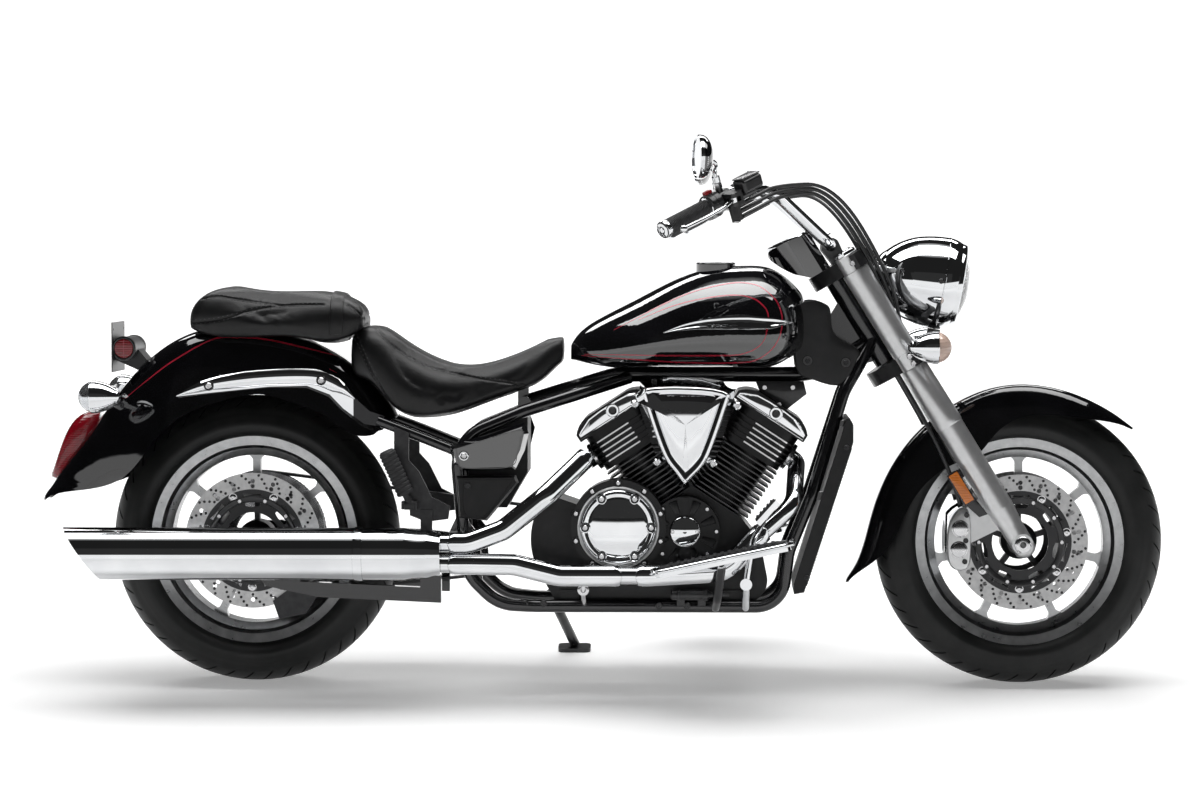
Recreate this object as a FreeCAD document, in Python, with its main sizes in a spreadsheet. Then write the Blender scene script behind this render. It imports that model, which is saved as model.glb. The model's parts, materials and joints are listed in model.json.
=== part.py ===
import FreeCAD
import Part
import Sketcher
import math
import os

doc = FreeCAD.newDocument("cruiser_motorcycle")
sheet = doc.addObject("Spreadsheet::Sheet", "Sizes")


# A size keeps its value and the text that binds a sketch or a feature to its cell.
class Size:
    def __init__(self, value, text):
        self.value = value
        self.text = text

    def __float__(self):
        return float(self.value)

    def __add__(self, other):
        other = as_size(other)
        return Size(self.value + other.value, f"({self.text} + {other.text})")

    def __sub__(self, other):
        other = as_size(other)
        return Size(self.value - other.value, f"({self.text} - {other.text})")

    def __mul__(self, other):
        other = as_size(other)
        return Size(self.value * other.value, f"({self.text} * {other.text})")

    def __truediv__(self, other):
        other = as_size(other)
        return Size(self.value / other.value, f"({self.text} / {other.text})")

    def __neg__(self):
        return Size(-self.value, f"(0 - {self.text})")

    __radd__ = __add__
    __rmul__ = __mul__

    def __rsub__(self, other):
        return as_size(other) - self

    def __rtruediv__(self, other):
        return as_size(other) / self


def as_size(number):
    if isinstance(number, Size):
        return number
    return Size(float(number), repr(float(number)))


def sine(angle):
    return Size(math.sin(math.radians(float(angle))), f"sin({as_size(angle).text})")


def cosine(angle):
    return Size(math.cos(math.radians(float(angle))), f"cos({as_size(angle).text})")


def root(value):
    return Size(math.sqrt(float(value)), f"sqrt({as_size(value).text})")


# Each driving dimension is one cell of the sheet, and its alias is the name used below.
class Sizes:
    row = 0

    def add(self, alias, value):
        self.row += 1
        sheet.set(f"A{self.row}", alias)
        sheet.set(f"B{self.row}", repr(float(value)))
        sheet.setAlias(f"B{self.row}", alias)
        setattr(self, alias, Size(float(value), f"Sizes.{alias}"))

    def table(self, name, columns, rows):
        cells = []
        for number, values in enumerate(rows, 1):
            line = []
            for column, value in zip(columns, values):
                alias = f"{name}_{column}_{number}"
                self.add(alias, value)
                line.append(getattr(self, alias))
            cells.append(line)
        return cells


# Driving dimensions, in millimetres and degrees, by the piece that they shape
sizes = {
    # Stance and steering geometry
    "wheelbase": 1690, "lean": 10, "rake": 31.5, "fork_offset": 41.5, "fork_spread": 112,
    # Tyres and wheels
    "front_tyre_radius": 316, "front_tyre_width": 130, "front_crown": 65,
    "rear_tyre_radius": 318, "rear_tyre_width": 170, "rear_crown": 100,
    "rim_radius": 216, "rim_lip": 13, "rim_depth": 30, "rim_wall": 7, "bead_depth": 14,
    "front_rim_width": 100, "rear_rim_width": 126, "spoke_count": 7, "spoke_width": 17,
    "spoke_thickness": 26, "spoke_root": 96, "hub_radius": 40, "ring_radius": 98,
    "hub_ring_wall": 14, "hub_arm_width": 12, "front_hub_width": 96, "rear_hub_width": 130,
    "disc_radius": 149, "disc_inner": 112, "disc_thickness": 5, "disc_holes": 18, "disc_hole": 5,
    "front_disc_place": 62, "rear_disc_place": 92, "carrier_inner": 62, "disc_hole_ring": 131,
    "pulley_radius": 138, "pulley_width": 30, "pulley_place": 106, "pulley_bore": 60,
    "running_gap": 0.05, "part_gap": 0.3, "axle_radius": 10, "collar_radius": 16,
    # Fork, clamps and steering
    "leg_radius": 30, "leg_length": 312, "leg_foot": 46, "leg_boss_width": 52, "cover_radius": 26.5,
    "clamp_high": 702, "clamp_low": 455, "clamp_thickness": 33, "stem_radius": 16, "head_wall": 11,
    "front_axle_bore": 7, "axle_stand_out": 5, "head_gap": 1.5,
    "caliper_width": 52, "caliper_reach": 96, "caliper_rise": 92, "caliper_radius": 152,
    "fender_lug_height": 225, "front_fender_half_width": 77, "fender_wall": 2.5,
    "bar_radius": 14, "bar_ahead": -17, "bar_height": 775, "riser_spread": 40,
    "grip_radius": 17, "grip_length": 120, "housing_length": 34, "housing_radius": 25,
    # Lamps and signals
    "lamp_ahead": 178.8, "lamp_height": 550, "lamp_tilt": 41.8, "lamp_radius": 102, "lamp_rim": 91,
    "lamp_depth": 160, "lamp_shoulder": 35, "lens_bulge": 26, "lamp_wall": 4, "lamp_stalk_ahead": 59,
    "front_signal_spread": 200, "signal_radius": 35, "signal_length": 98,
    "mirror_rise": 60, "mirror_width": 150, "mirror_height": 94, "mirror_depth": 24, "pod_width": 118,
    # Crank centre and cylinders
    "crank_ahead": 968, "crank_height": 328, "vee_half_angle": 33,
    "barrel_start": 96, "barrel_length": 128, "fin_count": 11, "fin_pitch": 11.4, "fin_thickness": 3.2,
    "fin_length": 164, "fin_width": 174, "fin_corner": 34, "barrel_radius": 60,
    "head_length": 84, "head_fin_count": 5, "head_fin_pitch": 12, "rocker_height": 40, "port_height": 40,
    "port_aside": 50,
    "deck_half": 66, "case_width": 176, "sump_depth": 142,
    "clutch_behind": -160, "clutch_rise": 27, "clutch_radius": 104, "clutch_cap_radius": 83, "clutch_depth": 78,
    "crank_cover_behind": -15, "crank_cover_rise": 17, "crank_cover_radius": 76, "crank_cover_depth": 56,
    "crank_cap_radius": 34, "air_cleaner_inner": 128, "air_cleaner_depth": 86, "radiator_width": 250,
    # Frame and swingarm
    "spine_front": 1240, "spine_rear": 800, "spine_height": 684, "spine_radius": 17,
    "cradle_spread": 112, "hip_spread": 134, "rail_radius": 14, "rail_height": 178,
    "pivot_ahead": 470, "pivot_height": 300, "pivot_bolt": 9, "arm_spread": 142, "arm_width": 26,
    "arm_low": 192, "lug_spread": 74,
    # Body side, tail and feet
    "box_width": 150, "cap_radius": 44, "rear_signal_spread": 208, "plate_thickness": 2.5, "plate_hole": 3.2,
    "plate_hole_spread": 146, "board_aside": 286, "peg_ahead": 356, "peg_aside": 184, "peg_height": 404,
    "peg_radius": 17, "peg_length": 100, "front_pulley": 52, "stand_ahead": 654, "stand_foot_ahead": 44,
    "stand_foot_aside": 250,
    # Exhaust
    "muffler_aside": 222, "muffler_height": 300, "muffler_front": 424, "muffler_tail": -404,
    "muffler_radius": 57, "outlet_radius": 50, "outlet_depth": 150, "header_radius": 19,
}
size = Sizes()
for alias, value in sizes.items():
    size.add(alias, value)


def number(value):
    return float(value)


def point(x, y, z):
    return FreeCAD.Vector(float(x), float(y), float(z))


# The axles stand at the height where both leaning tyres touch the floor.
front_axle_height = (size.front_tyre_radius - size.front_crown + size.front_crown / cosine(size.lean))
rear_axle_height = (size.rear_tyre_radius - size.rear_crown + size.rear_crown / cosine(size.lean))

upright = FreeCAD.Placement()
lean_turn = FreeCAD.Rotation(FreeCAD.Vector(1, 0, 0), -number(size.lean))
fork_frame = FreeCAD.Placement(
    point(size.wheelbase, 0, front_axle_height),
    FreeCAD.Rotation(FreeCAD.Vector(0, 1, 0), -number(size.rake)),
)
rear_frame = FreeCAD.Placement(point(0, 0, rear_axle_height), FreeCAD.Rotation())
front_frame = FreeCAD.Placement(point(size.wheelbase, 0, front_axle_height), FreeCAD.Rotation())
crank_frame = FreeCAD.Placement(point(size.crank_ahead, 0, size.crank_height), FreeCAD.Rotation())

nodes = []


# A node is one sub-part: it gets its label and stays in the frame it was drawn in.
def node(item, label, frame=upright):
    item.Label = label
    nodes.append((item, frame))
    return item


def new_body(name):
    body = doc.addObject("PartDesign::Body", name)
    body.AllowCompound = True
    return body


def base_plane(body, role):
    return [item for item in body.Origin.OriginFeatures if item.Role == role][0]


def bind(item, prop, value):
    item.setExpression(prop, as_size(value).text)


def last_constraint(sketch):
    return f"Constraints[{sketch.ConstraintCount - 1}]"


# The radius of a dome of a given rise over a round edge, with its top square to the axis.
def dome(edge, rise):
    edge = as_size(edge)
    rise = as_size(rise)
    return (edge * edge + rise * rise) / (rise * 2)


# An outline is a closed run of corners (x, y), or (x, y, radius) where the side that
# arrives at the corner is an arc: a positive radius bulges to the right of the way round.
def outline(body, role, corners, offset=0, name="outline", sketch=None):
    if sketch is None:
        sketch = body.newObject("Sketcher::SketchObject", name)
        sketch.AttachmentSupport = (base_plane(body, role), [""])
        sketch.MapMode = "FlatFace"
        sketch.AttachmentOffset = FreeCAD.Placement(point(0, 0, offset), FreeCAD.Rotation())
        bind(sketch, "AttachmentOffset.Base.z", offset)
    first = sketch.GeometryCount
    total = len(corners)
    for i, corner in enumerate(corners):
        start = FreeCAD.Vector(number(corners[i - 1][0]), number(corners[i - 1][1]), 0)
        end = FreeCAD.Vector(number(corner[0]), number(corner[1]), 0)
        if len(corner) == 3:
            radius = number(corner[2])
            half = (end - start) * 0.5
            side = FreeCAD.Vector(half.y, -half.x, 0).normalize() * math.copysign(1, radius)
            rise = abs(radius) - math.sqrt(max(radius ** 2 - half.Length ** 2, 0))
            middle = start + half + side * rise
            edge = Part.Arc(start, middle, end) if radius > 0 else Part.Arc(end, middle, start)
            arc = sketch.addGeometry(edge, False)
            sketch.addConstraint(Sketcher.Constraint("Radius", arc, abs(radius)))
            bind(sketch, last_constraint(sketch), as_size(corner[2]) * math.copysign(1, radius))
        else:
            sketch.addGeometry(Part.LineSegment(start, end), False)
    ends = []
    for i in range(total):
        curve = sketch.Geometry[first + i]
        want = FreeCAD.Vector(number(corners[i][0]), number(corners[i][1]), 0)
        ends.append(2 if (curve.EndPoint - want).Length < 1e-6 else 1)
    for i in range(total):
        after = (i + 1) % total
        begin = 1 if ends[after] == 2 else 2
        sketch.addConstraint(Sketcher.Constraint("Coincident", first + i, ends[i], first + after, begin))
    for i, corner in enumerate(corners):
        for kind, value in (("DistanceX", corner[0]), ("DistanceY", corner[1])):
            sketch.addConstraint(Sketcher.Constraint(kind, -1, 1, first + i, ends[i], number(value)))
            bind(sketch, last_constraint(sketch), value)
    return sketch


def circle(body, role, x, y, radius, offset=0, name="circle", sketch=None):
    if sketch is None:
        sketch = body.newObject("Sketcher::SketchObject", name)
        sketch.AttachmentSupport = (base_plane(body, role), [""])
        sketch.MapMode = "FlatFace"
        sketch.AttachmentOffset = FreeCAD.Placement(point(0, 0, offset), FreeCAD.Rotation())
        bind(sketch, "AttachmentOffset.Base.z", offset)
    ring = sketch.addGeometry(Part.Circle(FreeCAD.Vector(number(x), number(y), 0), FreeCAD.Vector(0, 0, 1), number(radius)))
    for kind, value in (("DistanceX", x), ("DistanceY", y)):
        sketch.addConstraint(Sketcher.Constraint(kind, -1, 1, ring, 3, number(value)))
        bind(sketch, last_constraint(sketch), value)
    sketch.addConstraint(Sketcher.Constraint("Radius", ring, number(radius)))
    bind(sketch, last_constraint(sketch), radius)
    return sketch


def pad(body, sketch, length, symmetric=False, reverse=False, taper=0):
    feature = body.newObject("PartDesign::Pad", "pad")
    feature.Profile = sketch
    feature.SideType = "Symmetric" if symmetric else "One side"
    feature.Reversed = reverse
    bind(feature, "Length", length)
    if taper:
        feature.TaperAngle = taper
    return feature


def pocket(body, sketch, length, symmetric=False, reverse=False):
    feature = body.newObject("PartDesign::Pocket", "pocket")
    feature.Profile = sketch
    feature.SideType = "Symmetric" if symmetric else "One side"
    feature.Reversed = reverse
    bind(feature, "Length", length)
    return feature


def revolve(body, sketch, axis="H_Axis", groove=False):
    kind = "PartDesign::Groove" if groove else "PartDesign::Revolution"
    feature = body.newObject(kind, "turned")
    feature.Profile = sketch
    feature.ReferenceAxis = (sketch, [axis])
    feature.Angle = 360
    return feature


def polar(body, feature, role, count):
    pattern = body.newObject("PartDesign::PolarPattern", "ring_of")
    pattern.Originals = [feature]
    pattern.Axis = (base_plane(body, role), [""])
    pattern.Angle = 360
    bind(pattern, "Occurrences", count)
    body.Tip = pattern
    return pattern


def row_of(body, feature, role, count, pitch):
    pattern = body.newObject("PartDesign::LinearPattern", "row_of")
    pattern.Originals = [feature]
    pattern.Direction = (base_plane(body, role), [""])
    pattern.Mode = "Spacing"
    bind(pattern, "Offset", pitch)
    bind(pattern, "Occurrences", count)
    body.Tip = pattern
    return pattern


def feature(shape, name):
    item = doc.addObject("Part::Feature", name)
    item.Shape = shape
    return item


def mirrored(item):
    mirror = doc.addObject("Part::Mirroring", item.Name + "_mirror")
    mirror.Source = item
    mirror.Base = FreeCAD.Vector(0, 0, 0)
    mirror.Normal = FreeCAD.Vector(0, 1, 0)
    return mirror


# Right-hand pieces are drawn once; their left twins are mirrored in the centre plane.
def pair(item, name, frame=upright):
    node(group([item], name + "_right"), name + "_right", frame)
    node(group([mirrored(item)], name + "_left"), name + "_left", frame)


def both(item, name, frame=upright):
    node(group([item, mirrored(item)], name), name, frame)


def group(items, name):
    compound = doc.addObject("Part::Compound", name)
    compound.Links = items
    return compound


# A bent tube follows straight runs joined by tangent arcs.
def bent_path(points, bend=None):
    edges = []
    start = points[0]
    for before, corner, after in zip(points, points[1:], points[2:]):
        into = (corner - before).normalize()
        out = (after - corner).normalize()
        half_turn = into.getAngle(out) / 2
        shorter = min((corner - before).Length, (after - corner).Length)
        limit = 0.45 * shorter / math.tan(half_turn)
        radius = min(bend, limit) if bend else limit
        back = radius * math.tan(half_turn)
        middle = corner + (out - into).normalize() * (radius / math.cos(half_turn) - radius)
        edges.append(Part.LineSegment(start, corner - into * back).toShape())
        edges.append(Part.Arc(corner - into * back, middle, corner + out * back).toShape())
        start = corner + out * back
    edges.append(Part.LineSegment(start, points[-1]).toShape())
    return Part.Wire(edges)


def tube(points, radius, bend=None, bore=0):
    path = bent_path(points, bend)
    along = (points[1] - points[0]).normalize()
    rings = [Part.Wire(Part.makeCircle(number(r), points[0], along)) for r in (radius, bore) if number(r)]
    solids = [path.makePipeShell([ring], True, False) for ring in rings]
    return solids[0].cut(solids[1]) if len(solids) == 2 else solids[0]


def sided(points, side):
    return [FreeCAD.Vector(p.x, p.y * side, p.z) for p in points]


# A skin is lofted through closed smooth sections.
def smooth_ring(points):
    curve = Part.BSplineCurve()
    curve.interpolate(points, PeriodicFlag=True)
    return Part.Wire(curve.toShape())


def skin(rings):
    return Part.makeLoft(rings, True, False)


# Tyre: a crowned tread, round shoulders and a bead that sits on the rim's seat.
def tyre(name, radius, width, crown, rim_width, frame):
    body = new_body(name)
    seat = size.rim_radius + size.running_gap
    bead = rim_width / 2 - size.rim_wall - size.part_gap
    half = width / 2
    shoulder = radius - crown + root(crown * crown - half * half * 0.64)
    corners = [
        (-bead, seat),
        (bead, seat),
        (bead, seat + size.bead_depth),
        (half, seat + (radius - seat) * 0.42, radius * 0.28),
        (half * 0.8, shoulder, radius * 0.19),
        (0, radius, crown),
        (-half * 0.8, shoulder, crown),
        (-half, seat + (radius - seat) * 0.42, radius * 0.19),
        (-bead, seat + size.bead_depth, radius * 0.28),
    ]
    sketch = outline(body, "YZ_Plane", corners)
    revolve(body, sketch, "H_Axis")
    return node(body, name, frame)


# Cast wheel: a rim with two flanges, a drop centre, short spokes and an open hub.
def wheel(name, rim_width, hub_width, left, right, frame, turn):
    body = new_body(name)
    half = rim_width / 2
    lip = size.rim_radius + size.rim_lip
    well = size.rim_radius - size.rim_depth
    rim = [
        (-half, lip),
        (-half + size.rim_wall * 0.8, lip),
        (-half + size.rim_wall, size.rim_radius),
        (-half + size.rim_wall * 3.4, size.rim_radius - 3),
        (-half + size.rim_wall * 4.6, well + size.rim_wall),
        (half - size.rim_wall * 4.6, well + size.rim_wall),
        (half - size.rim_wall * 3.4, size.rim_radius - 3),
        (half - size.rim_wall, size.rim_radius),
        (half - size.rim_wall * 0.8, lip),
        (half, lip),
        (half - size.rim_wall * 0.5, size.rim_radius - size.rim_wall),
        (half - size.rim_wall * 3, size.rim_radius - size.rim_wall * 2),
        (half - size.rim_wall * 4, well),
        (-half + size.rim_wall * 4, well),
        (-half + size.rim_wall * 3, size.rim_radius - size.rim_wall * 2),
        (-half + size.rim_wall * 0.5, size.rim_radius - size.rim_wall),
    ]
    revolve(body, outline(body, "YZ_Plane", rim, name="rim"), "H_Axis")
    bore = size.axle_radius + size.running_gap
    hub = [
        (-hub_width / 2, bore),
        (hub_width / 2, bore),
        (hub_width / 2, size.hub_radius * 0.72),
        (hub_width / 4, size.hub_radius),
        (-hub_width / 4, size.hub_radius),
        (-hub_width / 2, size.hub_radius * 0.72),
    ]
    revolve(body, outline(body, "YZ_Plane", hub, name="hub"), "H_Axis")
    ring = [
        (-right, size.ring_radius - size.hub_ring_wall),
        (left, size.ring_radius - size.hub_ring_wall),
        (left, size.ring_radius),
        (-right, size.ring_radius),
    ]
    revolve(body, outline(body, "YZ_Plane", ring, name="carrier_ring"), "H_Axis")
    arm = [
        (-size.hub_arm_width / 2, size.hub_radius - 4),
        (size.hub_arm_width / 2, size.hub_radius - 4),
        (size.hub_arm_width / 2, size.ring_radius - size.hub_ring_wall / 2),
        (-size.hub_arm_width / 2, size.ring_radius - size.hub_ring_wall / 2),
    ]
    arms = pad(body, outline(body, "XZ_Plane", arm, name="hub_arm"), size.spoke_thickness * 0.8, True)
    polar(body, arms, "Y_Axis", 5)
    spoke = [
        (-size.spoke_width * 0.75, size.spoke_root - 2, -40),
        (size.spoke_width * 0.75, size.spoke_root - 2),
        (size.spoke_width * 0.5, size.spoke_root + 22, -40),
        (size.spoke_width * 0.5, well - 12),
        (size.spoke_width * 1.4, well + 2, -24),
        (-size.spoke_width * 1.4, well + 2),
        (-size.spoke_width * 0.5, well - 12, -24),
        (-size.spoke_width * 0.5, size.spoke_root + 22),
    ]
    spokes = pad(body, outline(body, "XZ_Plane", spoke, name="spoke"), size.spoke_thickness, True)
    polar(body, spokes, "Y_Axis", size.spoke_count)
    return node(body, name, frame * FreeCAD.Placement(point(0, 0, 0), FreeCAD.Rotation(FreeCAD.Vector(0, 1, 0), turn)))


# Brake disc: a drilled ring on a carrier with windows.
def brake_disc(name, place):
    body = new_body(name)
    half = size.disc_thickness / 2
    ring = [
        (place - half, size.carrier_inner),
        (place + half, size.carrier_inner),
        (place + half, size.disc_radius),
        (place - half, size.disc_radius),
    ]
    revolve(body, outline(body, "YZ_Plane", ring, name="ring"), "H_Axis")
    for holes, offset in ((size.disc_hole_ring, 0), (size.disc_hole_ring - 11, 0)):
        hole = circle(body, "XZ_Plane", offset, holes, size.disc_hole, 0, "hole")
        cut = pocket(body, hole, number(size.disc_radius) * 2, True)
        polar(body, cut, "Y_Axis", size.disc_holes)
    window = outline(body, "XZ_Plane", [
        (-size.carrier_inner * 0.26, size.carrier_inner + 14),
        (size.carrier_inner * 0.26, size.carrier_inner + 14, 60),
        (size.carrier_inner * 0.34, size.disc_inner - 8),
        (-size.carrier_inner * 0.34, size.disc_inner - 8, -90),
    ], name="window")
    cut = pocket(body, window, number(size.disc_radius) * 2, True)
    polar(body, cut, "Y_Axis", 7)
    return body


# Wheels and what turns with them
def front_wheel_parts():
    tyre("front_tyre", size.front_tyre_radius, size.front_tyre_width, size.front_crown,
         size.front_rim_width, front_frame)
    side = size.front_disc_place - size.disc_thickness / 2
    wheel("front_wheel", size.front_rim_width, size.front_hub_width, side, side, front_frame, 0)
    disc = brake_disc("front_disc", -size.front_disc_place)
    both(disc, "front_discs", front_frame)


def rear_wheel_parts():
    tyre("rear_tyre", size.rear_tyre_radius, size.rear_tyre_width, size.rear_crown,
         size.rear_rim_width, rear_frame)
    right = size.rear_disc_place - size.disc_thickness / 2
    left = size.pulley_place - size.pulley_width / 2
    wheel("rear_wheel", size.rear_rim_width, size.rear_hub_width, left, right, rear_frame, 0)
    node(brake_disc("rear_disc", -size.rear_disc_place), "rear_disc", rear_frame)
    pulley = new_body("rear_pulley")
    near = size.pulley_place - size.pulley_width / 2
    far = size.pulley_place + size.pulley_width / 2
    profile = [
        (near, size.pulley_bore),
        (near + 12, size.pulley_bore),
        (near + 12, size.pulley_radius - 20),
        (far, size.pulley_radius - 12),
        (far, size.pulley_radius + 4),
        (far - 2, size.pulley_radius + 4),
        (far - 2, size.pulley_radius),
        (near + 2, size.pulley_radius),
        (near + 2, size.pulley_radius + 4),
        (near, size.pulley_radius + 4),
    ]
    revolve(pulley, outline(pulley, "YZ_Plane", profile, name="pulley"), "H_Axis")
    node(pulley, "rear_pulley", rear_frame)


# Axles: a hollow front axle with a collar each side of the hub, and a solid rear one.
def axle(name, hub_width, reach, collar_end, bore, frame):
    body = new_body(name)
    hub_end = hub_width / 2 + size.part_gap
    profile = [
        (-reach, bore), (reach, bore), (reach, size.axle_radius),
        (collar_end, size.axle_radius), (collar_end, size.collar_radius),
        (hub_end, size.collar_radius), (hub_end, size.axle_radius),
        (-hub_end, size.axle_radius), (-hub_end, size.collar_radius),
        (-collar_end, size.collar_radius), (-collar_end, size.axle_radius),
        (-reach, size.axle_radius),
    ]
    revolve(body, outline(body, "YZ_Plane", profile, name="axle"), "H_Axis")
    return node(body, name, frame)


# Fork leg: slider with its axle boss, cover up to the top clamp, caliper and fender lugs.
def fork_legs():
    leg = new_body("fork_leg")
    cap_top = size.clamp_high + size.clamp_thickness + 8
    profile = [
        (0, -size.leg_foot * 0.7),
        (size.leg_radius * 0.8, -size.leg_foot * 0.4, dome(size.leg_radius * 0.8, size.leg_foot * 0.3)),
        (size.leg_radius * 0.86, size.leg_foot), (size.leg_radius, size.leg_foot * 2),
        (size.leg_radius, size.leg_length - 8), (size.cover_radius + 1, size.leg_length),
        (size.cover_radius, size.leg_length), (size.cover_radius, cap_top - 4),
        (size.cover_radius - 4, cap_top), (0, cap_top),
    ]
    revolve(leg, outline(leg, "XZ_Plane", profile, name="leg"), "V_Axis")
    boss = circle(leg, "XZ_Plane", 0, 0, size.leg_foot / 2, name="axle_boss")
    pad(leg, boss, size.leg_boss_width, True)
    caliper_face = size.fork_spread - size.front_disc_place - size.caliper_width / 2
    lug = [
        (-size.caliper_reach, size.caliper_rise - 34), (-7, size.caliper_rise - 42),
        (-7, size.caliper_rise + 42), (-size.caliper_reach, size.caliper_rise + 34),
    ]
    pad(leg, outline(leg, "XZ_Plane", lug, -caliper_face, "caliper_lug"), 8)
    fender_face = size.fork_spread - size.front_fender_half_width - size.part_gap
    pad(leg, circle(leg, "XZ_Plane", 0, size.fender_lug_height, 14, name="fender_lug"),
        fender_face, reverse=True)
    bore = circle(leg, "XZ_Plane", 0, 0, size.axle_radius + size.running_gap, name="axle_hole")
    pocket(leg, bore, size.leg_radius * 4, True)
    leg.Placement = FreeCAD.Placement(point(0, -size.fork_spread, 0), FreeCAD.Rotation())
    pair(leg, "fork_leg", fork_frame)


# Triple clamps: two bridges on the steering stem, the bar risers and the lamp's nose.
def triple_clamps():
    body = new_body("triple_clamps")
    for height in (size.clamp_low, size.clamp_high):
        plan = [
            (-size.fork_offset - 34, -60, 100), (14, -size.fork_spread - 38), (34, -size.fork_spread, 45),
            (14, -60), (14, 60), (34, size.fork_spread), (14, size.fork_spread + 38, 45),
            (-size.fork_offset - 34, 60),
        ]
        plate = outline(body, "XY_Plane", plan, height, "bridge")
        pad(body, plate, size.clamp_thickness)
    stem = circle(body, "XY_Plane", -size.fork_offset, 0, size.stem_radius, size.clamp_low, "stem")
    pad(body, stem, size.clamp_high - size.clamp_low + size.clamp_thickness / 2)
    top = size.clamp_high + size.clamp_thickness
    for side in (-1, 1):
        riser = outline(body, "XZ_Plane", [
            (size.bar_ahead - 16, top - 5), (size.bar_ahead + 16, top - 5),
            (size.bar_ahead + 21, size.bar_height), (size.bar_ahead - 21, size.bar_height, 21.5),
        ], size.riser_spread * side - 13, "riser")
        pad(body, riser, 26)
    nose_low = size.clamp_low
    nose = outline(body, "XZ_Plane", [
        (10, nose_low), (size.lamp_stalk_ahead + 14, nose_low + 2),
        (size.lamp_stalk_ahead + 14, nose_low + 28, 14), (10, nose_low + size.clamp_thickness),
    ], name="nose")
    pad(body, nose, 44, True)
    across, down = cosine(size.lamp_tilt), sine(size.lamp_tilt)
    seat = size.lamp_radius + size.part_gap
    seat_x = size.lamp_ahead - size.lamp_shoulder * across - seat * down
    seat_z = size.lamp_height + size.lamp_shoulder * down - seat * across
    post = outline(body, "XZ_Plane", [
        (seat_x + across * 14, seat_z - down * 14), (seat_x - across * 14, seat_z + down * 14),
        (seat_x - across * 14 - down * 44, seat_z + down * 14 - across * 44),
        (seat_x + across * 14 - down * 44, seat_z - down * 14 - across * 44),
    ], name="lamp_post")
    pad(body, post, 28, True)
    stalk = circle(body, "XZ_Plane", size.lamp_stalk_ahead, nose_low + 15, 9, name="signal_bar")
    pad(body, stalk, (size.front_signal_spread - size.signal_radius - size.part_gap) * 2, True)
    for side in (-1, 1):
        hole = circle(body, "XY_Plane", 0, size.fork_spread * side,
                      size.cover_radius + size.running_gap, size.clamp_low - 5, "leg_hole")
        pocket(body, hole, size.clamp_high - size.clamp_low + size.clamp_thickness + 40, reverse=True)
    bar = circle(body, "XZ_Plane", size.bar_ahead, size.bar_height, size.bar_radius + size.running_gap, name="bar_hole")
    pocket(body, bar, size.riser_spread * 2 + 60, True)
    return node(body, "triple_clamps", fork_frame)


# Handlebar, grips and what is clamped to the bar. The right half is mirrored.
bar_bends = size.table("bar", ["ahead", "aside", "height"], [
    (-17, 104, 775), (-60, 205, 925), (-92, 262, 962), (-140, 310, 981), (-300, 443, 991),
])


def bar_points():
    return [point(ahead, -aside, height) for ahead, aside, height in bar_bends]


def bar_tube(radius):
    right = bar_points()
    return tube(sided(right, -1)[::-1] + right, radius, 75)


def handlebar():
    node(feature(bar_tube(number(size.bar_radius)), "handlebar"), "handlebar", fork_frame)


# The bar's end carries a frame of its own: X outward along the grip, Z up.
def grip_frame():
    start, end = bar_points()[-2:]
    along = (end - start).normalize()
    up = fork_frame.Rotation.inverted().multVec(FreeCAD.Vector(0, 0, 1))
    ahead = up.cross(along).normalize()
    return FreeCAD.Placement(end, FreeCAD.Rotation(along, ahead, along.cross(ahead), "XYZ"))


def at_grip(shape):
    shape.Placement = grip_frame() * shape.Placement
    return shape


def grips_and_controls():
    out = FreeCAD.Vector(1, 0, 0)
    long = number(size.grip_length)
    clear = number(size.bar_radius + size.running_gap)
    grip = Part.makeCylinder(number(size.grip_radius), long, point(-long, 0, 0), out)
    grip = grip.cut(Part.makeCylinder(clear, long, point(-long, 0, 0), out))
    end = Part.makeCylinder(number(size.grip_radius) + 1.5, 14, point(0, 0, 0), out)
    end = end.makeFillet(4, end.Edges[:1])
    both(feature(at_grip(grip.fuse(end).removeSplitter()), "grip"), "grips", fork_frame)
    inner = -long - 2 - number(size.housing_length)
    housing = Part.makeCylinder(number(size.housing_radius), number(size.housing_length), point(inner, 0, 0), out)
    housing = housing.makeFillet(4, [edge for edge in housing.Edges if len(edge.Vertexes) == 1])
    clamp = Part.makeCylinder(number(size.housing_radius) - 5, 36, point(inner - 33, 0, 0), out)
    perch = Part.makeBox(33, 38, 28, point(inner - 36, 12, -13))
    perch = perch.makeFillet(8, [edge for edge in perch.Edges if abs(edge.tangentAt(edge.FirstParameter).z) > 0.9])
    slot = Part.makeBox(60, 40, 11, point(inner - 24, 24, -5.5))
    reservoir = Part.makeBox(58, 38, 30, point(inner - 94, 18, 2))
    reservoir = reservoir.makeFillet(7, reservoir.Edges)
    barrel = Part.makeCylinder(10, 54, point(inner - 80, 32, -2), out)
    gland = Part.makeBox(9, 20, 40, point(inner - 31, 11.5, -51))
    boss = Part.makeCylinder(8, 26, point(inner - 12, 2, 14), FreeCAD.Vector(0, 0, 1))
    solid = housing
    for piece in (clamp, perch.cut(slot), reservoir, barrel, boss, gland):
        solid = solid.fuse(piece)
    controls = at_grip(solid).cut(bar_tube(clear))
    both(feature(controls, "switches"), "controls", fork_frame)
    pivot = point(inner - 12, 39, 0)
    route = [pivot, pivot + point(44, 16, 0), pivot + point(108, 18, -2), pivot + point(162, 6, -4)]
    eye = Part.makeCylinder(9, 10, pivot - point(0, 0, 5))
    lever = tube(route, 4.4).fuse([eye, Part.makeSphere(8, route[-1])])
    both(feature(at_grip(lever), "lever"), "levers", fork_frame)


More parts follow.
